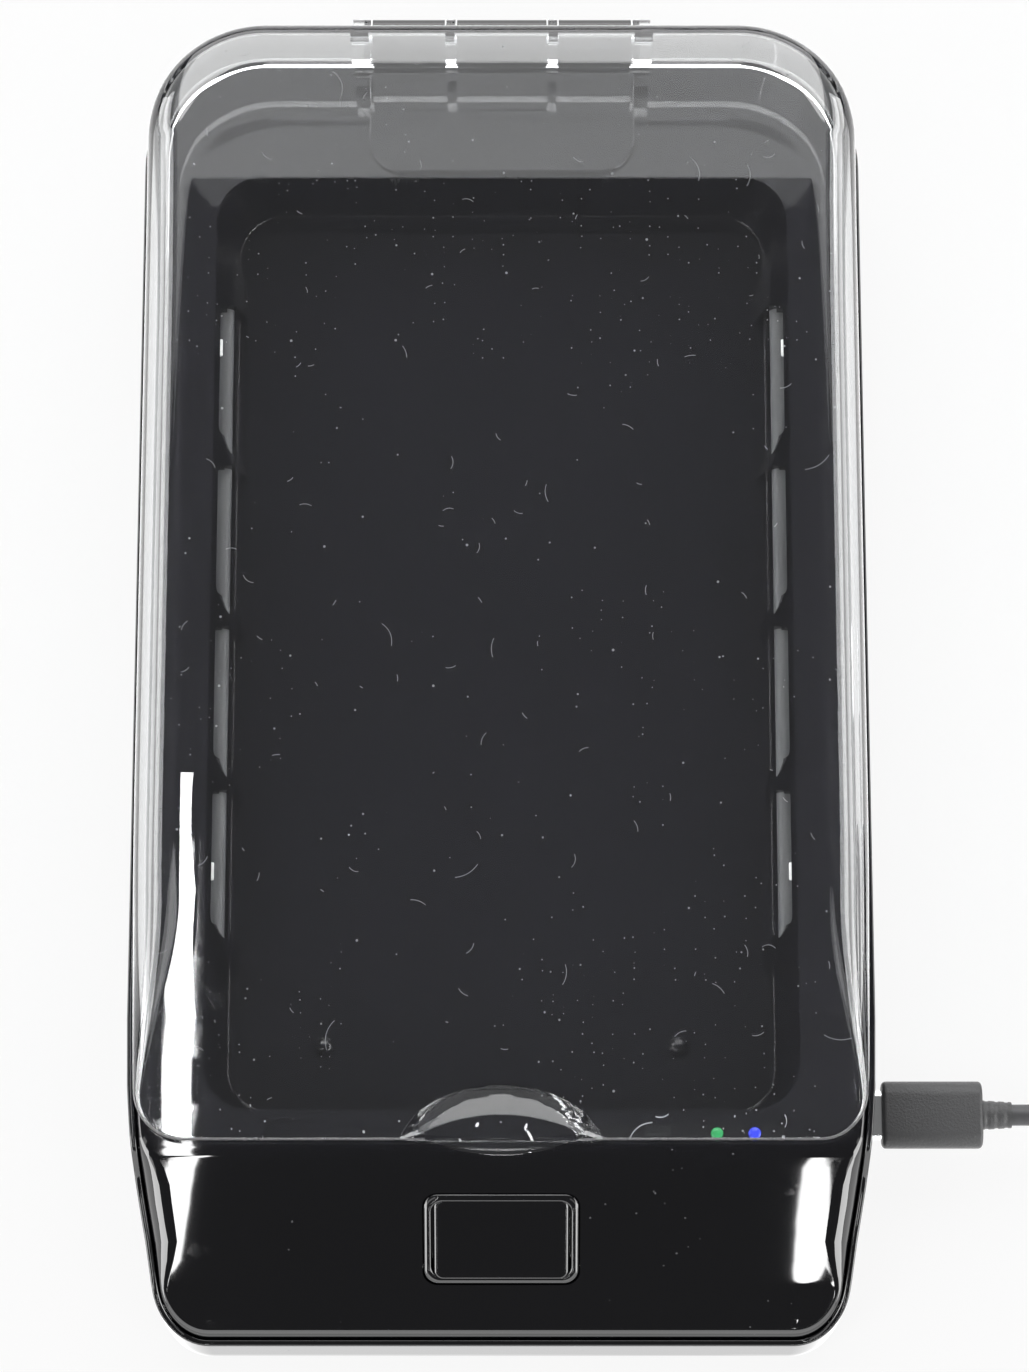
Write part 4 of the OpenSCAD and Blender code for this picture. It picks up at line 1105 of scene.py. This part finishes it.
# %% The button's frame: a ring with a rounded section on a flange
FRAME_W, FRAME_H, FRAME_R, FRAME_WIDE, FRAME_TOP = 26.1, 16.7, 2.55, 1.45, 0.3
BEAD, CORNER = 1.05, 0.35
section = [(FRAME_WIDE, -2.6), (-0.95, -2.6), (-0.95, -1.8), (0, -1.8)]
section += [(BEAD * (1 - math.cos(a)), FRAME_TOP - BEAD * (1 - math.sin(a)))
            for a in np.linspace(0, np.pi / 2, 10)]
section += [(FRAME_WIDE - CORNER * (1 - math.cos(a)), FRAME_TOP - CORNER * (1 - math.sin(a)))
            for a in np.linspace(np.pi / 2, 0, 6)]
frame_rings = slice_rings([(z, FRAME_W - 2 * t, FRAME_H - 2 * t, FRAME_R - t * 0.4)
                           for t, z in section])
count, around = frame_rings.shape[:2]
button_frame = add_mesh("button_frame", on_slope(frame_rings.reshape(-1, 3)),
                        grid_faces(count + 1, around) % (count * around), "gloss_black", "box")
finish_edges(button_frame)
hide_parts("button_bezel")

# %% The button: a rounded slab with a soft edge and its flange below
BUTTON_W, BUTTON_H, BUTTON_EDGE, EDGE_Z = 22.6, 15, 0.7, -0.4
slab = [(2.0, -3.5, 0.5), (-1.1, -3.5, 2.0), (-1.1, -2.7, 2.0), (0, -2.7, 1.7), (0, EDGE_Z, 1.7)]
for a in np.linspace(0, np.pi / 2, 7)[1:]:
    t = BUTTON_EDGE * (1 - math.cos(a))
    slab.append((t, EDGE_Z + BUTTON_EDGE * math.sin(a), 1.7 - t))
button = loft("push_button", [(z, BUTTON_W - 2 * t, BUTTON_H - 2 * t, r) for t, z, r in slab],
              on_slope, "button_black", "power_button", 35)
combine(button, [prism("stem", disc(0, 0, 3.4), -5, -3.2, place=on_slope)], "UNION")
finish_edges(button)
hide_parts("power_button")

# %% [markdown]
# ## The studio
# The box stands on a white table that fills the picture. To the camera it is mostly a plain
# white, with enough real shading left for a soft shadow, and mirrored in gloss it is brighter.
# Seen through the lid it is shaded by real light, and behind the box a painted shadow darkens it.

# %% Table
# The third and fourth numbers place a painted shadow behind the box and set how fast it darkens.
GLOW, MIRROR_GLOW, PAINTED_SHADOW_Y, PAINTED_SHADOW_RISE = 1.04, 1.3, 0.1, 120.0
PLAIN_SEEN, PLAIN_MIRRORED, PLAIN_THROUGH = 0.85, 0.9, 0.2
table = Finish("table_white", Roughness=0.6)
seen, mirrored, through_lid = [table.add("ShaderNodeLightPath", out=ray)
                               for ray in ("Is Camera Ray", "Is Glossy Ray", "Is Transmission Ray")]
mirrored = (mirrored - through_lid).clamped()
glow = table.add("ShaderNodeEmission", Color=(1, 1, 1), Strength=mirrored * MIRROR_GLOW + GLOW)
# Painted shadow: behind the box, where the lid is seen through, the table's colour turns dark and its
# glow fades.
painted_shadow = ((table.parts(table.place)[1] - PAINTED_SHADOW_Y) * PAINTED_SHADOW_RISE).clamped() * through_lid
table.set(Base_Color=table.blend(painted_shadow, (0.85, 0.85, 0.85), (0.1, 0.1, 0.1)))
plain = (seen * PLAIN_SEEN + mirrored * PLAIN_MIRRORED
         + through_lid * PLAIN_THROUGH * (1.0 - painted_shadow)).clamped()
table.lay(plain, glow)
floor = add_mesh("table_top", [(-3000, -3000, 0), (3000, -3000, 0), (3000, 3000, 0), (-3000, 3000, 0)],
                 [(0, 1, 2, 3)], None, None)
floor.data.materials.append(table.material)

# %% World: white to the camera, a dim room to everything else
world = bpy.data.worlds.new("studio")
bpy.context.scene.world = world
world.use_nodes = True
tree = world.node_tree
background = tree.nodes["Background"]
camera_ray = tree.nodes.new("ShaderNodeLightPath").outputs["Is Camera Ray"]
room = Value(tree, camera_ray) * 0.8 + 0.2
join(tree, background.inputs["Strength"], room)
background.inputs["Color"].default_value = (1, 1, 1, 1)
